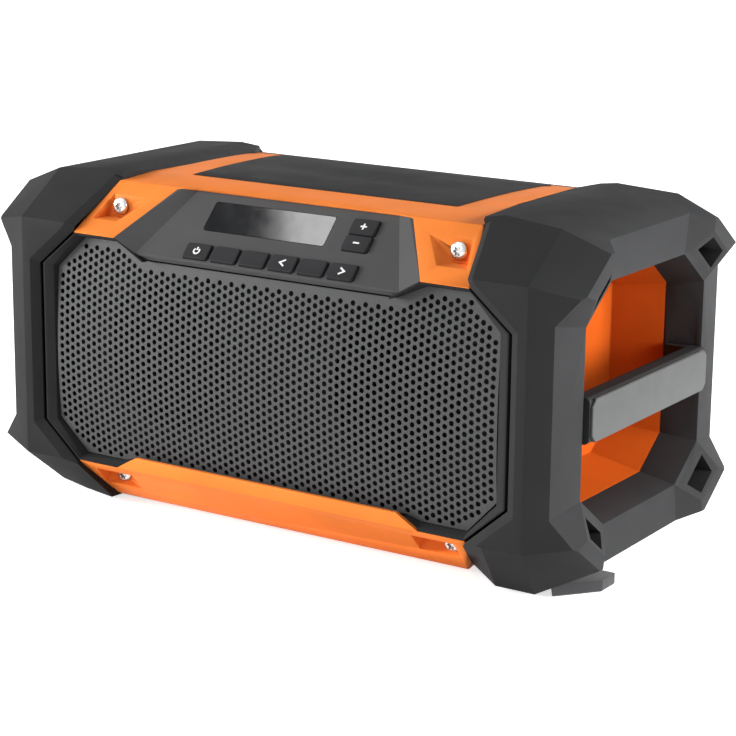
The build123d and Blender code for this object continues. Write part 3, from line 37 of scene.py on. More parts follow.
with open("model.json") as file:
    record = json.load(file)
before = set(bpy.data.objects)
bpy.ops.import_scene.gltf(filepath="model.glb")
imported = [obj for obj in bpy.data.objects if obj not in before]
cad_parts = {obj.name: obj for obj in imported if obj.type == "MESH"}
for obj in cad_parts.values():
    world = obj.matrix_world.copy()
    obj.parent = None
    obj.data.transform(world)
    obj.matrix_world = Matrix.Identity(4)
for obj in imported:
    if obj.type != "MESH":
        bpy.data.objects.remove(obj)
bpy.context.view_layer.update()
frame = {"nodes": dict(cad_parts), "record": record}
MM = 0.001
NEAR = 0.3                    # a corner this near to where it is looked for is the one, in mm


# ===============================================================================================
# Materials
# ===============================================================================================

def new_material(name, color, roughness, metallic=0.0):
    """A material with its Principled shader, and the shader node."""
    material = bpy.data.materials.new(name)
    material.use_nodes = True
    shader = material.node_tree.nodes["Principled BSDF"]
    shader.inputs["Base Color"].default_value = (*color, 1.0)
    shader.inputs["Roughness"].default_value = roughness
    shader.inputs["Metallic"].default_value = metallic
    return material, shader


def node(tree, kind, **values):
    """A new node with some of its inputs or properties set."""
    made = tree.nodes.new(kind)
    for key, value in values.items():
        if key in made.inputs:
            made.inputs[key].default_value = value
        else:
            setattr(made, key, value)
    return made


def map_range(tree, value, source, target):
    """A node's output, mapped from one range of numbers to another."""
    made = node(tree, "ShaderNodeMapRange")
    for key, number in zip(("From Min", "From Max", "To Min", "To Max"), (*source, *target)):
        made.inputs[key].default_value = number
    tree.links.new(value, made.inputs["Value"])
    return made.outputs["Result"]


def object_noise(tree, scale, detail, roughness=0.5):
    """Noise fixed to the object, `scale` features to the metre."""
    place = node(tree, "ShaderNodeTexCoord")
    noise = node(tree, "ShaderNodeTexNoise", Scale=scale, Detail=detail, Roughness=roughness)
    tree.links.new(place.outputs["Object"], noise.inputs["Vector"])
    return noise


COLOR_NOISE = (0.3, 0.7)      # the range that holds most of the noise
ROUGHNESS_NOISE = (0.25, 0.75)


def vary_color(tree, shader, color, scale, amount):
    """Lets the colour drift a little, lighter and darker, over the surface."""
    noise = object_noise(tree, scale, detail=4.0)
    shades = node(tree, "ShaderNodeValToRGB")
    dark, light = shades.color_ramp.elements
    dark.position, light.position = COLOR_NOISE
    dark.color = (*[c * (1 - amount) for c in color], 1.0)
    light.color = (*[min(1.0, c * (1 + amount)) for c in color], 1.0)
    tree.links.new(noise.outputs["Fac"], shades.inputs["Fac"])
    tree.links.new(shades.outputs["Color"], shader.inputs["Base Color"])


def vary_roughness(tree, shader, roughness, scale, amount):
    """Lets the roughness drift over the surface."""
    noise = object_noise(tree, scale, detail=5.0)
    reach = (roughness - amount, roughness + amount)
    drift = map_range(tree, noise.outputs["Fac"], ROUGHNESS_NOISE, reach)
    tree.links.new(drift, shader.inputs["Roughness"])


def add_grain(tree, shader, scale, depth, soft_scale=None, soft_depth=0.0):
    """Fine grain as a bump of a real depth, with or without a broad unevenness under it."""
    fine = object_noise(tree, scale, detail=2.0, roughness=0.6)
    bump = node(tree, "ShaderNodeBump", Distance=depth, Strength=1.0)
    tree.links.new(fine.outputs["Fac"], bump.inputs["Height"])
    if soft_scale:
        broad = object_noise(tree, soft_scale, detail=2.0)
        under = node(tree, "ShaderNodeBump", Distance=soft_depth, Strength=1.0)
        tree.links.new(broad.outputs["Fac"], under.inputs["Height"])
        tree.links.new(under.outputs["Normal"], bump.inputs["Normal"])
    tree.links.new(bump.outputs["Normal"], shader.inputs["Normal"])


def moulded_plastic(name, color, roughness, grain_depth, grain_scale=1400.0, specular=0.02):
    """Injection-moulded plastic with a spark-eroded grain."""
    material, shader = new_material(name, color, roughness)
    tree = material.node_tree
    shader.inputs["Specular IOR Level"].default_value = specular
    vary_color(tree, shader, color, 35.0, 0.06)
    vary_roughness(tree, shader, roughness, 60.0, 0.05)
    add_grain(tree, shader, grain_scale, grain_depth, 45.0, 0.05 * MM)
    return material


def gloss_window():
    """Smoked acrylic over the display, with the faintest moulding ripple."""
    material, shader = new_material("smoked_window", (0.004, 0.0045, 0.006), 0.09)
    shader.inputs["Specular IOR Level"].default_value = 0.12
    add_grain(material.node_tree, shader, 60.0, 0.004 * MM)
    vary_roughness(material.node_tree, shader, 0.09, 120.0, 0.03)
    return material


def coated_steel():
    """Powder-coated perforated steel."""
    color = (0.066, 0.0665, 0.068)
    material, shader = new_material("powder_coated_steel", color, 0.48)
    tree = material.node_tree
    shader.inputs["Specular IOR Level"].default_value = 0.2
    vary_color(tree, shader, color, 80.0, 0.05)
    vary_roughness(tree, shader, 0.46, 150.0, 0.06)
    add_grain(tree, shader, 2200.0, 0.012 * MM)
    return material


def bare_metal(name, color, roughness):
    """Plated or bare metal, slightly uneven."""
    material, shader = new_material(name, color, roughness, metallic=1.0)
    tree = material.node_tree
    vary_color(tree, shader, color, 180.0, 0.08)
    vary_roughness(tree, shader, roughness, 300.0, 0.08)
    add_grain(tree, shader, 900.0, 0.006 * MM)
    return material


def soft_rubber(name, color, roughness):
    """Rubber with a dull bloom."""
    material, shader = new_material(name, color, roughness)
    tree = material.node_tree
    shader.inputs["Specular IOR Level"].default_value = 0.35
    shader.inputs["Sheen Weight"].default_value = 0.15
    shader.inputs["Sheen Roughness"].default_value = 0.5
    vary_color(tree, shader, color, 50.0, 0.07)
    vary_roughness(tree, shader, roughness, 90.0, 0.05)
    add_grain(tree, shader, 1100.0, 0.03 * MM, 60.0, 0.04 * MM)
    return material


def circuit_laminate():
    """Green solder mask with a faint pattern of traces."""
    color = (0.012, 0.09, 0.03)
    material, shader = new_material("solder_mask", color, 0.35)
    tree = material.node_tree
    place = node(tree, "ShaderNodeTexCoord")
    bricks = node(
        tree, "ShaderNodeTexBrick", Scale=260.0, Color1=(*color, 1.0),
        Color2=(0.016, 0.12, 0.04, 1.0), Mortar=(0.02, 0.15, 0.05, 1.0),
    )
    tree.links.new(place.outputs["Object"], bricks.inputs["Vector"])
    tree.links.new(bricks.outputs["Color"], shader.inputs["Base Color"])
    add_grain(tree, shader, 700.0, 0.01 * MM)
    return material


def white_ink():
    """Pad-printed white marks."""
    color = (0.82, 0.82, 0.80)
    material, shader = new_material("white_ink", color, 0.55)
    vary_color(material.node_tree, shader, color, 900.0, 0.05)
    add_grain(material.node_tree, shader, 1600.0, 0.01 * MM)
    return material


CHARCOAL = (0.031, 0.0313, 0.0322)
ORANGE = (0.88, 0.235, 0.045)

looks = {
    "charcoal_plastic": moulded_plastic("charcoal_abs", CHARCOAL, 0.58, 0.02 * MM),
    "orange_plastic": moulded_plastic("orange_abs", ORANGE, 0.42, 0.012 * MM),
    "grille_steel": coated_steel(),
    "grey_rubber": soft_rubber("grey_grip", (0.037, 0.0383, 0.0383), 0.62),
    "black_rubber": soft_rubber("black_rubber", (0.018, 0.018, 0.02), 0.7),
    "window_gloss": gloss_window(),
    "display_glass": moulded_plastic("display_glass", (0.01, 0.012, 0.011), 0.2, 0.004 * MM),
    "circuit_board": circuit_laminate(),
    "screw_steel": bare_metal("zinc_steel", (0.58, 0.58, 0.57), 0.27),
    "black_painted_metal": moulded_plastic("black_paint", (0.012, 0.012, 0.012), 0.4, 0.01 * MM),
    "cone_paper": moulded_plastic("cone_paper", (0.012, 0.012, 0.013), 0.7, 0.05 * MM, 700.0),
    "magnet_iron": bare_metal("ferrite", (0.16, 0.16, 0.17), 0.55),
    "heat_sink_aluminium": bare_metal("bare_aluminium", (0.78, 0.78, 0.79), 0.35),
    "black_plastic": moulded_plastic("black_plastic", (0.014, 0.014, 0.015), 0.45, 0.02 * MM),
    "contact_brass": bare_metal("contact_brass", (0.80, 0.60, 0.28), 0.28),
    "key_plastic": moulded_plastic("key_plastic", (0.034, 0.034, 0.036), 0.42, 0.015 * MM),
}
INK = white_ink()
# The control panel's grey is lighter than the charcoal it shares a slot with: partly the panel's
# own lighter tone beside the keys, partly painted light for the light its upward slope catches.
PANEL_GREY_AND_PAINTED_LIGHT = moulded_plastic("panel_abs_with_painted_light", (0.078, 0.078, 0.079), 0.50, 0.02 * MM)
# The hand recesses use a darker copy of the trims' orange: painted shade for the shadow that falls
# inside the recess.
ORANGE_WITH_PAINTED_RECESS_SHADE = moulded_plastic("orange_abs_painted_recess_shade", (0.42, 0.072, 0.008), 0.45, 0.012 * MM)


# ===============================================================================================
# Mesh helpers
# ===============================================================================================

def add_object(name, mesh, slot_name, body="casing", material=None):
    """Puts a mesh into the scene on a body, with the slot's material."""
    made = bpy.data.objects.new(name, mesh)
    bpy.context.scene.collection.objects.link(made)
    made.data.materials.clear()
    made.data.materials.append(material or looks[slot_name])
    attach(made, body)
    return made


def body_of_node(name):
    """The body that a CAD node belongs to."""
    for body, members in frame["record"]["behaviour"]["bodies"].items():
        if name in members:
            return body
    raise KeyError(name)


def slot_of_node(name):
    """The material slot that the record gives a CAD node."""
    for entry in frame["record"]["subparts"]:
        if entry["node"] == name:
            return entry["material_slot"]
    raise KeyError(name)


FLAT = radians(0.4)           # faces that bend less than this lie in one plane
SAME_POINT = 0.005 * MM
BEVEL_ANGLE = radians(18.0)   # edges that bend more than this are rounded


def flat_regions(shape):
    """Groups of faces that lie in one plane and touch, in the same order on every run."""
    left = dict.fromkeys(shape.faces)
    while left:
        first = next(iter(left))
        del left[first]
        region = [first]
        for face in region:       # the list grows while it is read
            for edge in face.edges:
                if len(edge.link_faces) == 2 and edge.calc_face_angle(pi) < FLAT:
                    for near in edge.link_faces:
                        if near in left:
                            del left[near]
                            region.append(near)
        yield region


def clean_copy(name):
    """A CAD node's mesh with its triangles merged back into flat faces."""
    shape = bmesh.new()
    shape.from_mesh(frame["nodes"][name].data)
    bmesh.ops.remove_doubles(shape, verts=shape.verts, dist=SAME_POINT)
    # A face round a hole can't be one polygon, so only regions without a hole are merged: those
    # where points minus edges plus faces make 1.
    whole = []
    for region in flat_regions(shape):
        verts = {vert for face in region for vert in face.verts}
        edges = {edge for face in region for edge in face.edges}
        if len(region) > 1 and len(verts) - len(edges) + len(region) == 1:
            whole.append(region)
    for region in whole:
        bmesh.ops.dissolve_faces(shape, faces=region)
    straight = [
        vert for vert in shape.verts
        if len(vert.link_edges) == 2 and vert.calc_edge_angle(pi) < FLAT
    ]
    bmesh.ops.dissolve_verts(shape, verts=straight)
    return shape


def rounded(name, width, segments=3, smooth=True, reshape=None, material=None):
    """Stands in for a CAD node with the same shape and edges rounded by a width."""
    shape = clean_copy(name)
    if reshape:
        reshape(shape)
    mesh = bpy.data.meshes.new(name + "_rounded")
    shape.to_mesh(mesh)
    shape.free()
    made = add_object(name + "_rounded", mesh, slot_of_node(name), body_of_node(name), material)
    bevel = made.modifiers.new("edges", "BEVEL")
    bevel.width = width
    bevel.segments = segments
    bevel.limit_method = "ANGLE"
    bevel.angle_limit = BEVEL_ANGLE
    bevel.use_clamp_overlap = True
    bevel.harden_normals = smooth
    bevel.miter_outer = "MITER_ARC"
    for face in mesh.polygons:
        face.use_smooth = smooth
    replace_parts(made, name)


# ===============================================================================================
# Steeper undersides
# ===============================================================================================

# The photograph's lower outline runs down more steeply than the CAD's, so the foot of the lower
# front bevels comes forward and down here. All in millimetres.
CAP_TOE = (18.0, 1.5)         # how far the caps' foot comes forward and down
CAP_BEVEL = (3.5, 26.5)       # heights of the bevel's lower and upper edges
CAP_FRONT = -65.5             # only what lies in front of this moves
CAP_CUT = 140.0               # the caps get an edge here, to bend at
TRIM_TOE = (9.0, 2.0)
TRIM_BEVEL = (6.9, 27.6)
TRIM_BEVEL_FOOT = -66.0       # where the trim's bevel starts, and how deep it is
TRIM_BEVEL_DEPTH = 30.3
TRIM_LIP = 5.5                # the trim's front below this height moves with the bevel's foot

# Share of the toe at distances from the radio's middle: the right cap's is fullest on its outer
# half, the left one's beside the trim.
RIGHT_TOE = [(117.0, 0.0), (CAP_CUT, 1.0), (164.0, 1.0), (178.0, 0.0)]
LEFT_TOE = [(124.0, 0.75), (163.0, 0.15), (164.0, 0.15), (184.0, 0.0)]


def ramp(value, start, end):
    """0 at start, 1 at end, and straight between them."""
    return max(0.0, min(1.0, (value - start) / (end - start)))


def bent_line(places, x):
    """Height at x of a line through places, level beyond its ends."""
    height = places[0][1]
    for (start, low), (end, high) in zip(places, places[1:]):
        height += (high - low) * ramp(x, start, end)
    return height


def steepen(vert, toe, bevel, share):
    """Moves a point of a lower front bevel forward and down, most at the bevel's foot."""
    lean = ramp(vert.co.z / MM, bevel[1], bevel[0]) * share
    vert.co.y -= toe[0] * lean * MM
    vert.co.z -= toe[1] * lean * MM


def cap_toe(shape):
    """An end cap's lower front, run down almost upright to the foot."""
    side = 1 if max(vert.co.x for vert in shape.verts) > 0 else -1
    shares = RIGHT_TOE if side > 0 else LEFT_TOE
    bmesh.ops.bisect_plane(
        shape, geom=shape.verts[:] + shape.edges[:] + shape.faces[:],
        plane_co=(side * CAP_CUT * MM, 0, 0), plane_no=(1, 0, 0),
    )
    for vert in shape.verts:
        x, y, z = (abs(vert.co.x) / MM, vert.co.y / MM, vert.co.z / MM)
        if y < CAP_FRONT and z < CAP_BEVEL[1]:
            steepen(vert, CAP_TOE, CAP_BEVEL, bent_line(shares, x))


def trim_toe(shape):
    """The bottom trim's bevel, brought forward round the screws' notches."""
    slope = (TRIM_BEVEL[1] - TRIM_BEVEL[0]) / TRIM_BEVEL_DEPTH
    for vert in shape.verts:
        y, z = (vert.co.y / MM, vert.co.z / MM)
        on_bevel = abs(z - TRIM_BEVEL[0] - slope * (TRIM_BEVEL_FOOT - y)) < NEAR
        if on_bevel or (y < 0 and z < TRIM_LIP):
            steepen(vert, TRIM_TOE, TRIM_BEVEL, 1.0)


# ===============================================================================================
# Slanted screw notches
# ===============================================================================================

# Corners of the top trim's notches: where the CAD has them, and where their sides run along the
# cap's and the panel's edges. In millimetres, for the right one.
NOTCH_CORNERS = [
    ((93.0, -76.0, 177.1), (90.5, -73.9, 178.94)),
    ((118.8, -76.0, 177.1), (116.3, -73.9, 178.94)),
    ((93.0, -88.1, 166.5), (103.5, -88.1, 166.5)),
    ((118.8, -88.1, 166.5), (121.3, -88.1, 166.5)),
    ((93.0, -76.0, 166.5), (108.5, -76.0, 166.5)),
]


def slant_notches(shape):
    """Slants the sides of the two notches in the top trim."""
    for vert in shape.verts:
        side = 1 if vert.co.x > 0 else -1
        for start, end in NOTCH_CORNERS:
            corner = Vector((side * start[0], start[1], start[2])) * MM
            if (vert.co - corner).length < NEAR * MM:
                vert.co = Vector((side * end[0], end[1], end[2])) * MM
                break


# ===============================================================================================
# Grille
# ===============================================================================================

HOLE_PITCH_Z = 4.5 * MM       # holes in one column
HOLE_PITCH_X = 3.908 * MM     # from column to column, every other one shifted by half a pitch
HOLE_MIDDLE_Z = 87.2 * MM
HOLE_REACH_Z = 0.07           # holes are tried this far above and below the middle
HOLE_RADIUS = 1.5 * MM
HOLE_SIDES = 10
HOLE_MARGIN = 2.4 * MM        # from the sheet's edge to the middle of a hole
TOP_MARGIN = 4.3 * MM         # the same at the upper edge
GRILLE_BOW = 0.45             # radius of the sheet's bow
GRILLE_FRONT = -93.3 * MM     # where the bow is foremost, in Y and in Z
GRILLE_MIDDLE_Z = 87.75 * MM
GRILLE_DEPTH = Vector((0, 1.0 * MM, 0))
EDGE_STEP = 6 * MM            # the outline is divided by this rise, so that the sheet can bend
KEEP_INSIDE = 1               # delaunay_2d_cdt's mode that keeps the triangles inside the outline
EPSILON = 1e-7


def grille_outline():
    """The sheet's edge in front view: its reach from the frame, its steps from the photograph."""
    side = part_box("speaker_grille")[1][0] / MM
    half = [
        (90.0, 32.9), (98.0, 30.6), (125.85, 30.6), (side, 49.45),
        (side, 137.35), (125.85, 155.3), (98.5, 155.3), (80.0, 146.9),
    ]
    whole = half + [(-x, z) for x, z in reversed(half)]
    return [Vector((x * MM, z * MM)) for x, z in whole]


def inside(point, outline, margin):
    """Whether a point lies in an outline, at least margin from its edges."""
    hits = 0
    for a, b in zip(outline, outline[1:] + outline[:1]):
        edge = b - a
        along = max(0.0, min(1.0, (point - a).dot(edge) / edge.length_squared))
        if (a + edge * along - point).length < margin:
            return False
        if (a.y > point.y) != (b.y > point.y):
            if point.x < a.x + (point.y - a.y) / (b.y - a.y) * edge.x:
                hits += 1
    return hits % 2 == 1


def grille_front(z):
    """The bowed face's place in Y at a height."""
    rise = z - GRILLE_MIDDLE_Z
    return GRILLE_FRONT + GRILLE_BOW - sqrt(GRILLE_BOW**2 - rise**2)


def divided(outline):
    """An outline with points added where it rises or falls."""
    points = []
    for corner, following in zip(outline, outline[1:] + outline[:1]):
        steps = max(1, round(abs(following.y - corner.y) / EDGE_STEP))
        points += [corner.lerp(following, step / steps) for step in range(steps)]
    return points


def hole_centres(outline):
    """Centres of the holes that stay clear of the sheet's edge."""
    columns = int(max(corner.x for corner in outline) / HOLE_PITCH_X) + 1
    rows = int(HOLE_REACH_Z / HOLE_PITCH_Z) + 1
    centres = []
    for column in range(-columns, columns + 1):
        shift = HOLE_PITCH_Z / 2 if column % 2 else 0.0
        for row in range(-rows, rows + 1):
            centre = Vector((column * HOLE_PITCH_X, HOLE_MIDDLE_Z + row * HOLE_PITCH_Z + shift))
            raised = centre + Vector((0, TOP_MARGIN - HOLE_MARGIN))
            if inside(centre, outline, HOLE_MARGIN) and inside(raised, outline, HOLE_MARGIN):
                centres.append(centre)
    return centres


def hole_cell(point):
    """Column, and half pitches up, of the place in the pattern that is nearest to a point."""
    return (
        round(point.x / HOLE_PITCH_X),
        round(2 * (point.y - HOLE_MIDDLE_Z) / HOLE_PITCH_Z),
    )


def pierced_sheet(outline, centres):
    """Points and triangles of the flat sheet, from its edge to its holes."""
    turns = [2 * pi * i / HOLE_SIDES for i in range(HOLE_SIDES)]
    circle = [HOLE_RADIUS * Vector((cos(turn), sin(turn))) for turn in turns]
    points = []
    edges = []
    for ring in [divided(outline)] + [[centre + spoke for spoke in circle] for centre in centres]:
        start = len(points)
        points += ring
        edges += [(start + i, start + (i + 1) % len(ring)) for i in range(len(ring))]
    points, _, faces, _, _, _ = delaunay_2d_cdt(points, edges, [], KEEP_INSIDE, EPSILON)
    taken = {hole_cell(centre): centre for centre in centres}

    def in_hole(face):
        middle = sum((points[i] for i in face), Vector((0, 0))) / len(face)
        column, place = hole_cell(middle)
        near = [taken.get((column, place + side)) for side in (-1, 0, 1)]
        return any(centre and (centre - middle).length < HOLE_RADIUS for centre in near)

    # Each triangle from its lowest number on, and all in order: the same on every run.
    kept = [face for face in faces if not in_hole(face)]
    starts = [face.index(min(face)) for face in kept]
    return points, sorted(face[start:] + face[:start] for face, start in zip(kept, starts))


def perforated_grille():
    """The bowed sheet with every round hole cut through it."""
    outline = grille_outline()
    points, faces = pierced_sheet(outline, hole_centres(outline))
    shape = bmesh.new()
    verts = [shape.verts.new((p.x, grille_front(p.y), p.y)) for p in points]
    for face in faces:
        shape.faces.new([verts[i] for i in face])
    loose = [vert for vert in shape.verts if not vert.link_faces]
    bmesh.ops.delete(shape, geom=loose, context="VERTS")
    rim = [edge for edge in shape.edges if edge.is_boundary]
    ends = dict.fromkeys(vert for edge in rim for vert in edge.verts)
    back = {vert: shape.verts.new(vert.co + GRILLE_DEPTH) for vert in ends}
    for a, b in [edge.verts for edge in rim]:
        shape.faces.new((a, b, back[b], back[a]))
    bmesh.ops.recalc_face_normals(shape, faces=shape.faces)
    if sum(face.normal.y * face.calc_area() for face in shape.faces) > 0:
        bmesh.ops.reverse_faces(shape, faces=shape.faces)
    mesh = bpy.data.meshes.new("perforated_grille")
    shape.to_mesh(mesh)
    shape.free()
    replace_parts(add_object("perforated_grille", mesh, "grille_steel"), "speaker_grille")


# ===============================================================================================
# Screws
# ===============================================================================================

HEAD_RADIUS = 4.9 * MM
HEAD_HEIGHT = 2.6 * MM
SCREW_SIDES = 48
SCREW_PROFILE = [             # radius and height over the seat, of shank and domed head, in mm
    (1.9, -14.0), (1.9, 0.0), (4.75, 0.0), (4.9, 0.15), (4.9, 1.0), (4.7, 1.6), (4.2, 2.1),
    (3.6, 2.40), (3.0, 2.55),
]
STAR_RADIUS = 2.1             # the six-lobed drive, in millimetres
STAR_LOBE = 0.45
STAR_DEPTH = 2.4
STAR_EDGE = 0.12              # chamfer at its mouth, and how much narrower it gets to its floor
STAR_TIP = (0.4, 0.35)        # radius and depth of the drilled tip under it
SHARP = radians(35)           # edges that bend more than this stay sharp


def screw_rings():
    """Radii, angles and heights of one screw's rings, from the shank's end to the drive's tip."""
    turns = [2 * pi * i / SCREW_SIDES for i in range(SCREW_SIDES)]
    rings = [[(radius, turn, height) for turn in turns] for radius, height in SCREW_PROFILE]
    top = HEAD_HEIGHT / MM
    for wider, down in ((STAR_EDGE, 0.0), (0.0, STAR_EDGE), (-STAR_EDGE, STAR_DEPTH)):
        rings.append([
            (STAR_RADIUS + wider + STAR_LOBE * cos(6 * turn), turn, top - down) for turn in turns
        ])
    rings.append([(STAR_TIP[0], turn, top - STAR_DEPTH - STAR_TIP[1]) for turn in turns])
    return rings


def add_screws(name, out):
    """Pan-head screws in a node's four seats, their heads towards the front (-1) or rear (1)."""
    low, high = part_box(name)
    seat_y = low[1] + HEAD_HEIGHT if out < 0 else high[1] - HEAD_HEIGHT
    seats = [
        Vector((x, seat_y, z))
        for x in (low[0] + HEAD_RADIUS, high[0] - HEAD_RADIUS)
        for z in (low[2] + HEAD_RADIUS, high[2] - HEAD_RADIUS)
    ]
    rings = screw_rings()
    shape = bmesh.new()
    for seat in seats:
        rows = [
            [
                shape.verts.new(
                    seat + Vector((radius * cos(turn), out * height, radius * sin(turn))) * MM
                )
                for radius, turn, height in ring
            ]
            for ring in rings
        ]
        for lower, upper in zip(rows, rows[1:]):
            for i in range(SCREW_SIDES):
                j = (i + 1) % SCREW_SIDES
                shape.faces.new((lower[i], lower[j], upper[j], upper[i]))
        shape.faces.new(rows[0])
        shape.faces.new(rows[-1])
    bmesh.ops.recalc_face_normals(shape, faces=shape.faces)
    for face in shape.faces:
        face.smooth = True
    for edge in shape.edges:
        if len(edge.link_faces) == 2 and edge.calc_face_angle() > SHARP:
            edge.smooth = False
    mesh = bpy.data.meshes.new(name + "_turned")
    shape.to_mesh(mesh)
    shape.free()
    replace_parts(add_object(name + "_turned", mesh, "screw_steel"), name)


# ===============================================================================================
# Marks on the keys
# ===============================================================================================

PANEL_TILT = radians(46.0)
ACROSS = Vector((1, 0, 0))
UPHILL = Vector((0, cos(PANEL_TILT), sin(PANEL_TILT)))
OUT = Vector((0, -sin(PANEL_TILT), cos(PANEL_TILT)))
PANEL_PLACE = Vector((0, -78.85, 168.15)) * MM

# On the panel, in millimetres across it and uphill.
FIRST_KEY = Vector((-45.6, -16.4))
KEY_STEP = Vector((18.8, 0))  # to the next key of the lower row
VOLUME_UP = Vector((48.9, 12.0))
VOLUME_DOWN = Vector((48.9, 1.6))
KEY_TOP = 1.6                 # a key's face over the panel
INK_HEIGHT = 0.06             # the ink stands this far out of the face, and starts this far in it
INK_ROOT = 0.04
MARK_LINE = 0.95              # width of a printed line
MITRE_LIMIT = 0.35            # a corner's points go out to 1 over this, at most
ARROW = [(1.5, 2.0), (-1.6, 0), (1.5, -2.0)]
BAR = [(-1.9, 0), (1.9, 0)]
PLUS_STEM = [[(0, 0.5), (0, 1.9)], [(0, -0.5), (0, -1.9)]]
POWER_STEM = [(0, 0.3), (0, 2.3)]
POWER_RADIUS = 1.75
POWER_DROP = 0.25             # the power sign's ring lies this far below the key's middle
POWER_GAP = 42                # half the ring's opening, in degrees
POWER_STEPS = 20


def on_panel(across, uphill, height):
    """A point over the control panel, from millimetres along its own directions."""
    return PANEL_PLACE + (ACROSS * across + UPHILL * uphill + OUT * height) * MM


def strip(line):
    """Left and right points of a printed line along a polyline, mitred at its corners."""
    ways = [(end - start).normalized() for start, end in zip(line, line[1:])]
    pairs = []
    for point, first, second in zip(line, ways[:1] + ways, ways + ways[-1:]):
        heading = (first + second).normalized()
        side = Vector((-heading.y, heading.x))
        stretch = 1 / max(MITRE_LIMIT, side.dot(Vector((-first.y, first.x))))
        half = side * (MARK_LINE / 2 * stretch)
        pairs.append((point + half, point - half))
    return pairs


def print_mark(key, centre, lines):
    """Prints polylines on a key, given round the key's centre."""
    shape = bmesh.new()
    for line in lines:
        steps = [
            [
                shape.verts.new(on_panel(centre.x + p.x, centre.y + p.y, height))
                for p in pair
                for height in (KEY_TOP - INK_ROOT, KEY_TOP + INK_HEIGHT)
            ]
            for pair in strip([Vector(p) for p in line])
        ]
        for a, b in zip(steps, steps[1:]):
            for i, j in ((0, 1), (1, 3), (3, 2), (2, 0)):
                shape.faces.new((a[i], a[j], b[j], b[i]))
        for end in (steps[0], steps[-1]):
            shape.faces.new((end[0], end[1], end[3], end[2]))
    bmesh.ops.recalc_face_normals(shape, faces=shape.faces)
    mesh = bpy.data.meshes.new(key + "_mark")
    shape.to_mesh(mesh)
    shape.free()
    add_object(key + "_mark", mesh, slot_of_node(key), body_of_node(key), INK)


def print_marks():
    """Power sign, arrows, minus and plus."""
    turns = [
        radians(POWER_GAP + (360 - 2 * POWER_GAP) * i / POWER_STEPS)
        for i in range(POWER_STEPS + 1)
    ]
    ring = [(POWER_RADIUS * sin(turn), POWER_RADIUS * cos(turn) - POWER_DROP) for turn in turns]
    print_mark("button_power", FIRST_KEY, [ring, POWER_STEM])
    print_mark("button_previous", FIRST_KEY + 3 * KEY_STEP, [ARROW])
    print_mark("button_next", FIRST_KEY + 5 * KEY_STEP, [[(-x, y) for x, y in ARROW]])
    print_mark("button_volume_down", VOLUME_DOWN, [BAR])
    print_mark("button_volume_up", VOLUME_UP, [BAR, *PLUS_STEM])


# ===============================================================================================
# Camera, light and stage
# ===============================================================================================

CAMERA_PLACE = Vector((0.6780, -1.0356, 0.3914))
CAMERA_AZIMUTH = 32.982       # degrees to the right of straight in front
CAMERA_TILT = 75.882          # degrees up from straight down
CAMERA_ROLL = 0.607
CAMERA_LENS = 109.54          # mm, on a 36 mm sensor

WORLD_FILL = 0.07             # strength of the even light from all round
FLOOR_COLOR = (0.86, 0.86, 0.86)
FLOOR_HALF = 6.0              # half its width
FLOOR_DROP = 0.0002           # the floor lies this far under the feet
FLOOR_GLOW = (0.7, 0.97)      # what camera and mirror rays see of the floor besides its shading,
FLOOR_REACH = (0.5, 1.6)      # near the radio and farther out, with the two distances in metres

# Place, the point that it looks at, width and height, and watts.
SOFTBOXES = {
    "spot_over_window": ((-0.704, -0.37, 1.3), (-0.704, -0.369, 0), (0.2, 0.2), 4.2),
    "overhead": ((-0.1, -0.5, 1.4), (-0.1, -0.3, 0), (0.8, 0.8), 3),
    "right": ((1.40, 0.25, 0.38), (0.1, 0, 0.1), (0.8, 0.6), 40),
    "left": ((-1.35, -0.75, 0.38), (0, 0, 0.1), (0.8, 0.6), 34),
    "front": ((-0.4, -1.7, 0.7), (0, 0, 0.1), (1.0, 0.8), 6),
    "rear": ((0.3, 1.7, 0.35), (0, 0, 0.1), (1.2, 0.5), 20),
}
UNREFLECTED = {"rear"}        # its mirror image would haze the caps' tops in the photograph's view


def seen_directly(tree):
    """1 for camera, glossy and transmission rays, else 0."""
    path = node(tree, "ShaderNodeLightPath")
    glossy = node(tree, "ShaderNodeMath", operation="MAXIMUM")
    seen = node(tree, "ShaderNodeMath", operation="MAXIMUM")
    tree.links.new(path.outputs["Is Camera Ray"], glossy.inputs[0])
    tree.links.new(path.outputs["Is Glossy Ray"], glossy.inputs[1])
    tree.links.new(glossy.outputs["Value"], seen.inputs[0])
    tree.links.new(path.outputs["Is Transmission Ray"], seen.inputs[1])
    return seen.outputs["Value"]


def set_world():
    """Soft even light for the object, white behind it."""
    world = bpy.data.worlds.new("studio")
    bpy.context.scene.world = world
    world.use_nodes = True
    tree = world.node_tree
    output = tree.nodes["World Output"]
    fill = tree.nodes["Background"]
    fill.inputs["Color"].default_value = (1.0, 1.0, 1.0, 1.0)
    fill.inputs["Strength"].default_value = WORLD_FILL
    backdrop = node(tree, "ShaderNodeBackground", Color=(1, 1, 1, 1), Strength=1.0)
    mix = node(tree, "ShaderNodeMixShader")
    tree.links.new(seen_directly(tree), mix.inputs["Fac"])
    tree.links.new(fill.outputs["Background"], mix.inputs[1])
    tree.links.new(backdrop.outputs["Background"], mix.inputs[2])
    tree.links.new(mix.outputs["Shader"], output.inputs["Surface"])


def add_softbox(name, place, target, size, power):
    """A rectangular area light that looks at a point."""
    data = bpy.data.lights.new(name, "AREA")
    data.shape = "RECTANGLE"
    data.size, data.size_y = size
    data.energy = power
    lamp = bpy.data.objects.new(name, data)
    lamp.location = place
    lamp.rotation_euler = (Vector(target) - Vector(place)).to_track_quat("-Z", "Y").to_euler()
    lamp.visible_glossy = name not in UNREFLECTED
    bpy.context.scene.collection.objects.link(lamp)


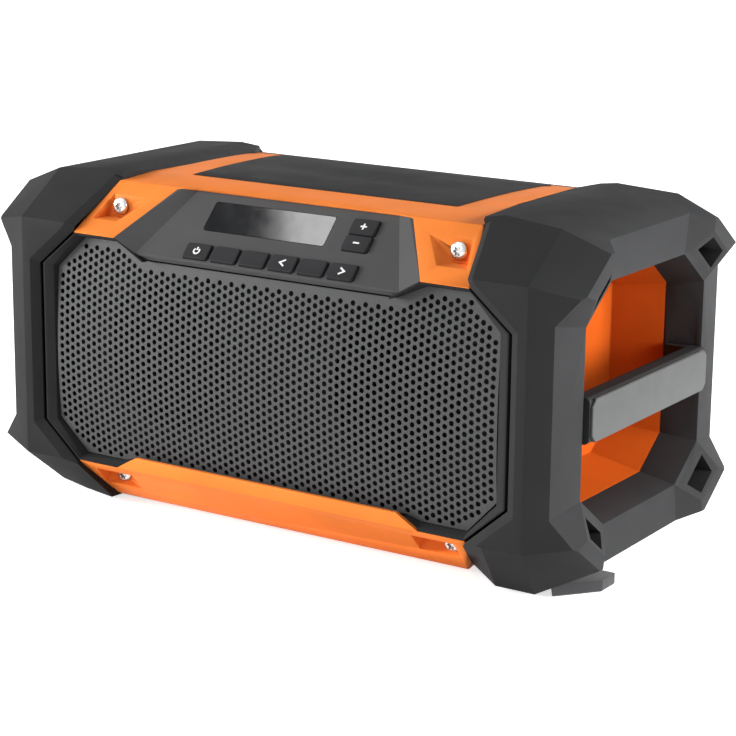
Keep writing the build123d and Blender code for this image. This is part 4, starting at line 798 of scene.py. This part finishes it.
def floor_material():
    """Pale and plain, and a little brighter than lit to camera and mirror rays."""
    material, shader = new_material("pale_floor", FLOOR_COLOR, 0.6)
    tree = material.node_tree
    glow = node(tree, "ShaderNodeEmission", Color=(1, 1, 1, 1))
    place = node(tree, "ShaderNodeTexCoord")
    distance = node(tree, "ShaderNodeVectorMath", operation="LENGTH")
    tree.links.new(place.outputs["Object"], distance.inputs[0])
    spread = map_range(tree, distance.outputs["Value"], FLOOR_REACH, FLOOR_GLOW)
    strength = node(tree, "ShaderNodeMath", operation="MULTIPLY")
    tree.links.new(seen_directly(tree), strength.inputs[0])
    tree.links.new(spread, strength.inputs[1])
    tree.links.new(strength.outputs["Value"], glow.inputs["Strength"])
    both = node(tree, "ShaderNodeAddShader")
    tree.links.new(shader.outputs["BSDF"], both.inputs[0])
    tree.links.new(glow.outputs["Emission"], both.inputs[1])
    tree.links.new(both.outputs["Shader"], tree.nodes["Material Output"].inputs["Surface"])
    return material


def add_floor():
    """A pale floor that keeps the object's shadow."""
    shape = bmesh.new()
    bmesh.ops.create_grid(shape, x_segments=1, y_segments=1, size=FLOOR_HALF)
    mesh = bpy.data.meshes.new("floor")
    shape.to_mesh(mesh)
    shape.free()
    floor = bpy.data.objects.new("floor", mesh)
    floor.location = (0, 0, -FLOOR_DROP)
    bpy.context.scene.collection.objects.link(floor)
    floor.data.materials.append(floor_material())


def add_camera():
    """The photograph's viewpoint."""
    data = bpy.data.cameras.new("camera")
    data.lens = CAMERA_LENS
    data.sensor_width = 36.0
    data.sensor_fit = "HORIZONTAL"
    data.clip_start = 0.05
    data.clip_end = 50.0
    camera = bpy.data.objects.new("camera", data)
    turn = (
        Matrix.Rotation(radians(CAMERA_AZIMUTH), 4, "Z")
        @ Matrix.Rotation(radians(CAMERA_TILT), 4, "X")
        @ Matrix.Rotation(radians(CAMERA_ROLL), 4, "Z")
    )
    camera.matrix_world = Matrix.Translation(CAMERA_PLACE) @ turn
    bpy.context.scene.collection.objects.link(camera)
    bpy.context.scene.camera = camera


# ===============================================================================================
# Making
# ===============================================================================================

KEYS = [
    "button_power", "button_pairing", "button_source", "button_previous",
    "button_preset", "button_next", "button_volume_up", "button_volume_down",
]

for name, shown in frame["nodes"].items():
    shown.data.materials.clear()
    shown.data.materials.append(looks[slot_of_node(name)])

rounded("right_end_cap", 1.6 * MM, reshape=cap_toe)
rounded("left_end_cap", 1.6 * MM, reshape=cap_toe)
rounded("top_trim", 0.5 * MM, reshape=slant_notches)
rounded("bottom_trim", 0.6 * MM, reshape=trim_toe)
rounded("top_inlay", 0.4 * MM, 2)
# The panel gets the lighter grey: partly its own tone, partly painted light.
rounded("control_panel", 0.35 * MM, 2, smooth=False, material=PANEL_GREY_AND_PAINTED_LIGHT)
rounded("display_lens", 0.25 * MM, 2, smooth=False)
rounded("grille_frame", 0.4 * MM)
for side in ("left", "right"):
    # The recess's darker orange is painted shade.
    rounded(side + "_hand_recess", 0.8 * MM, material=ORANGE_WITH_PAINTED_RECESS_SHADE)
    rounded(side + "_grip_bar", 0.8 * MM)
    rounded(side + "_grip_pad", 0.5 * MM)
    for end in ("front", "rear"):
        rounded(f"{end}_{side}_foot", 0.6 * MM)
for key in KEYS:
    rounded(key, 0.35 * MM, 2)
perforated_grille()
add_screws("trim_screws", -1)
add_screws("rear_screws", 1)
print_marks()

add_camera()
set_world()
add_floor()
for name, settings in SOFTBOXES.items():
    add_softbox(name, *settings)
bpy.context.scene.view_settings.view_transform = "Standard"
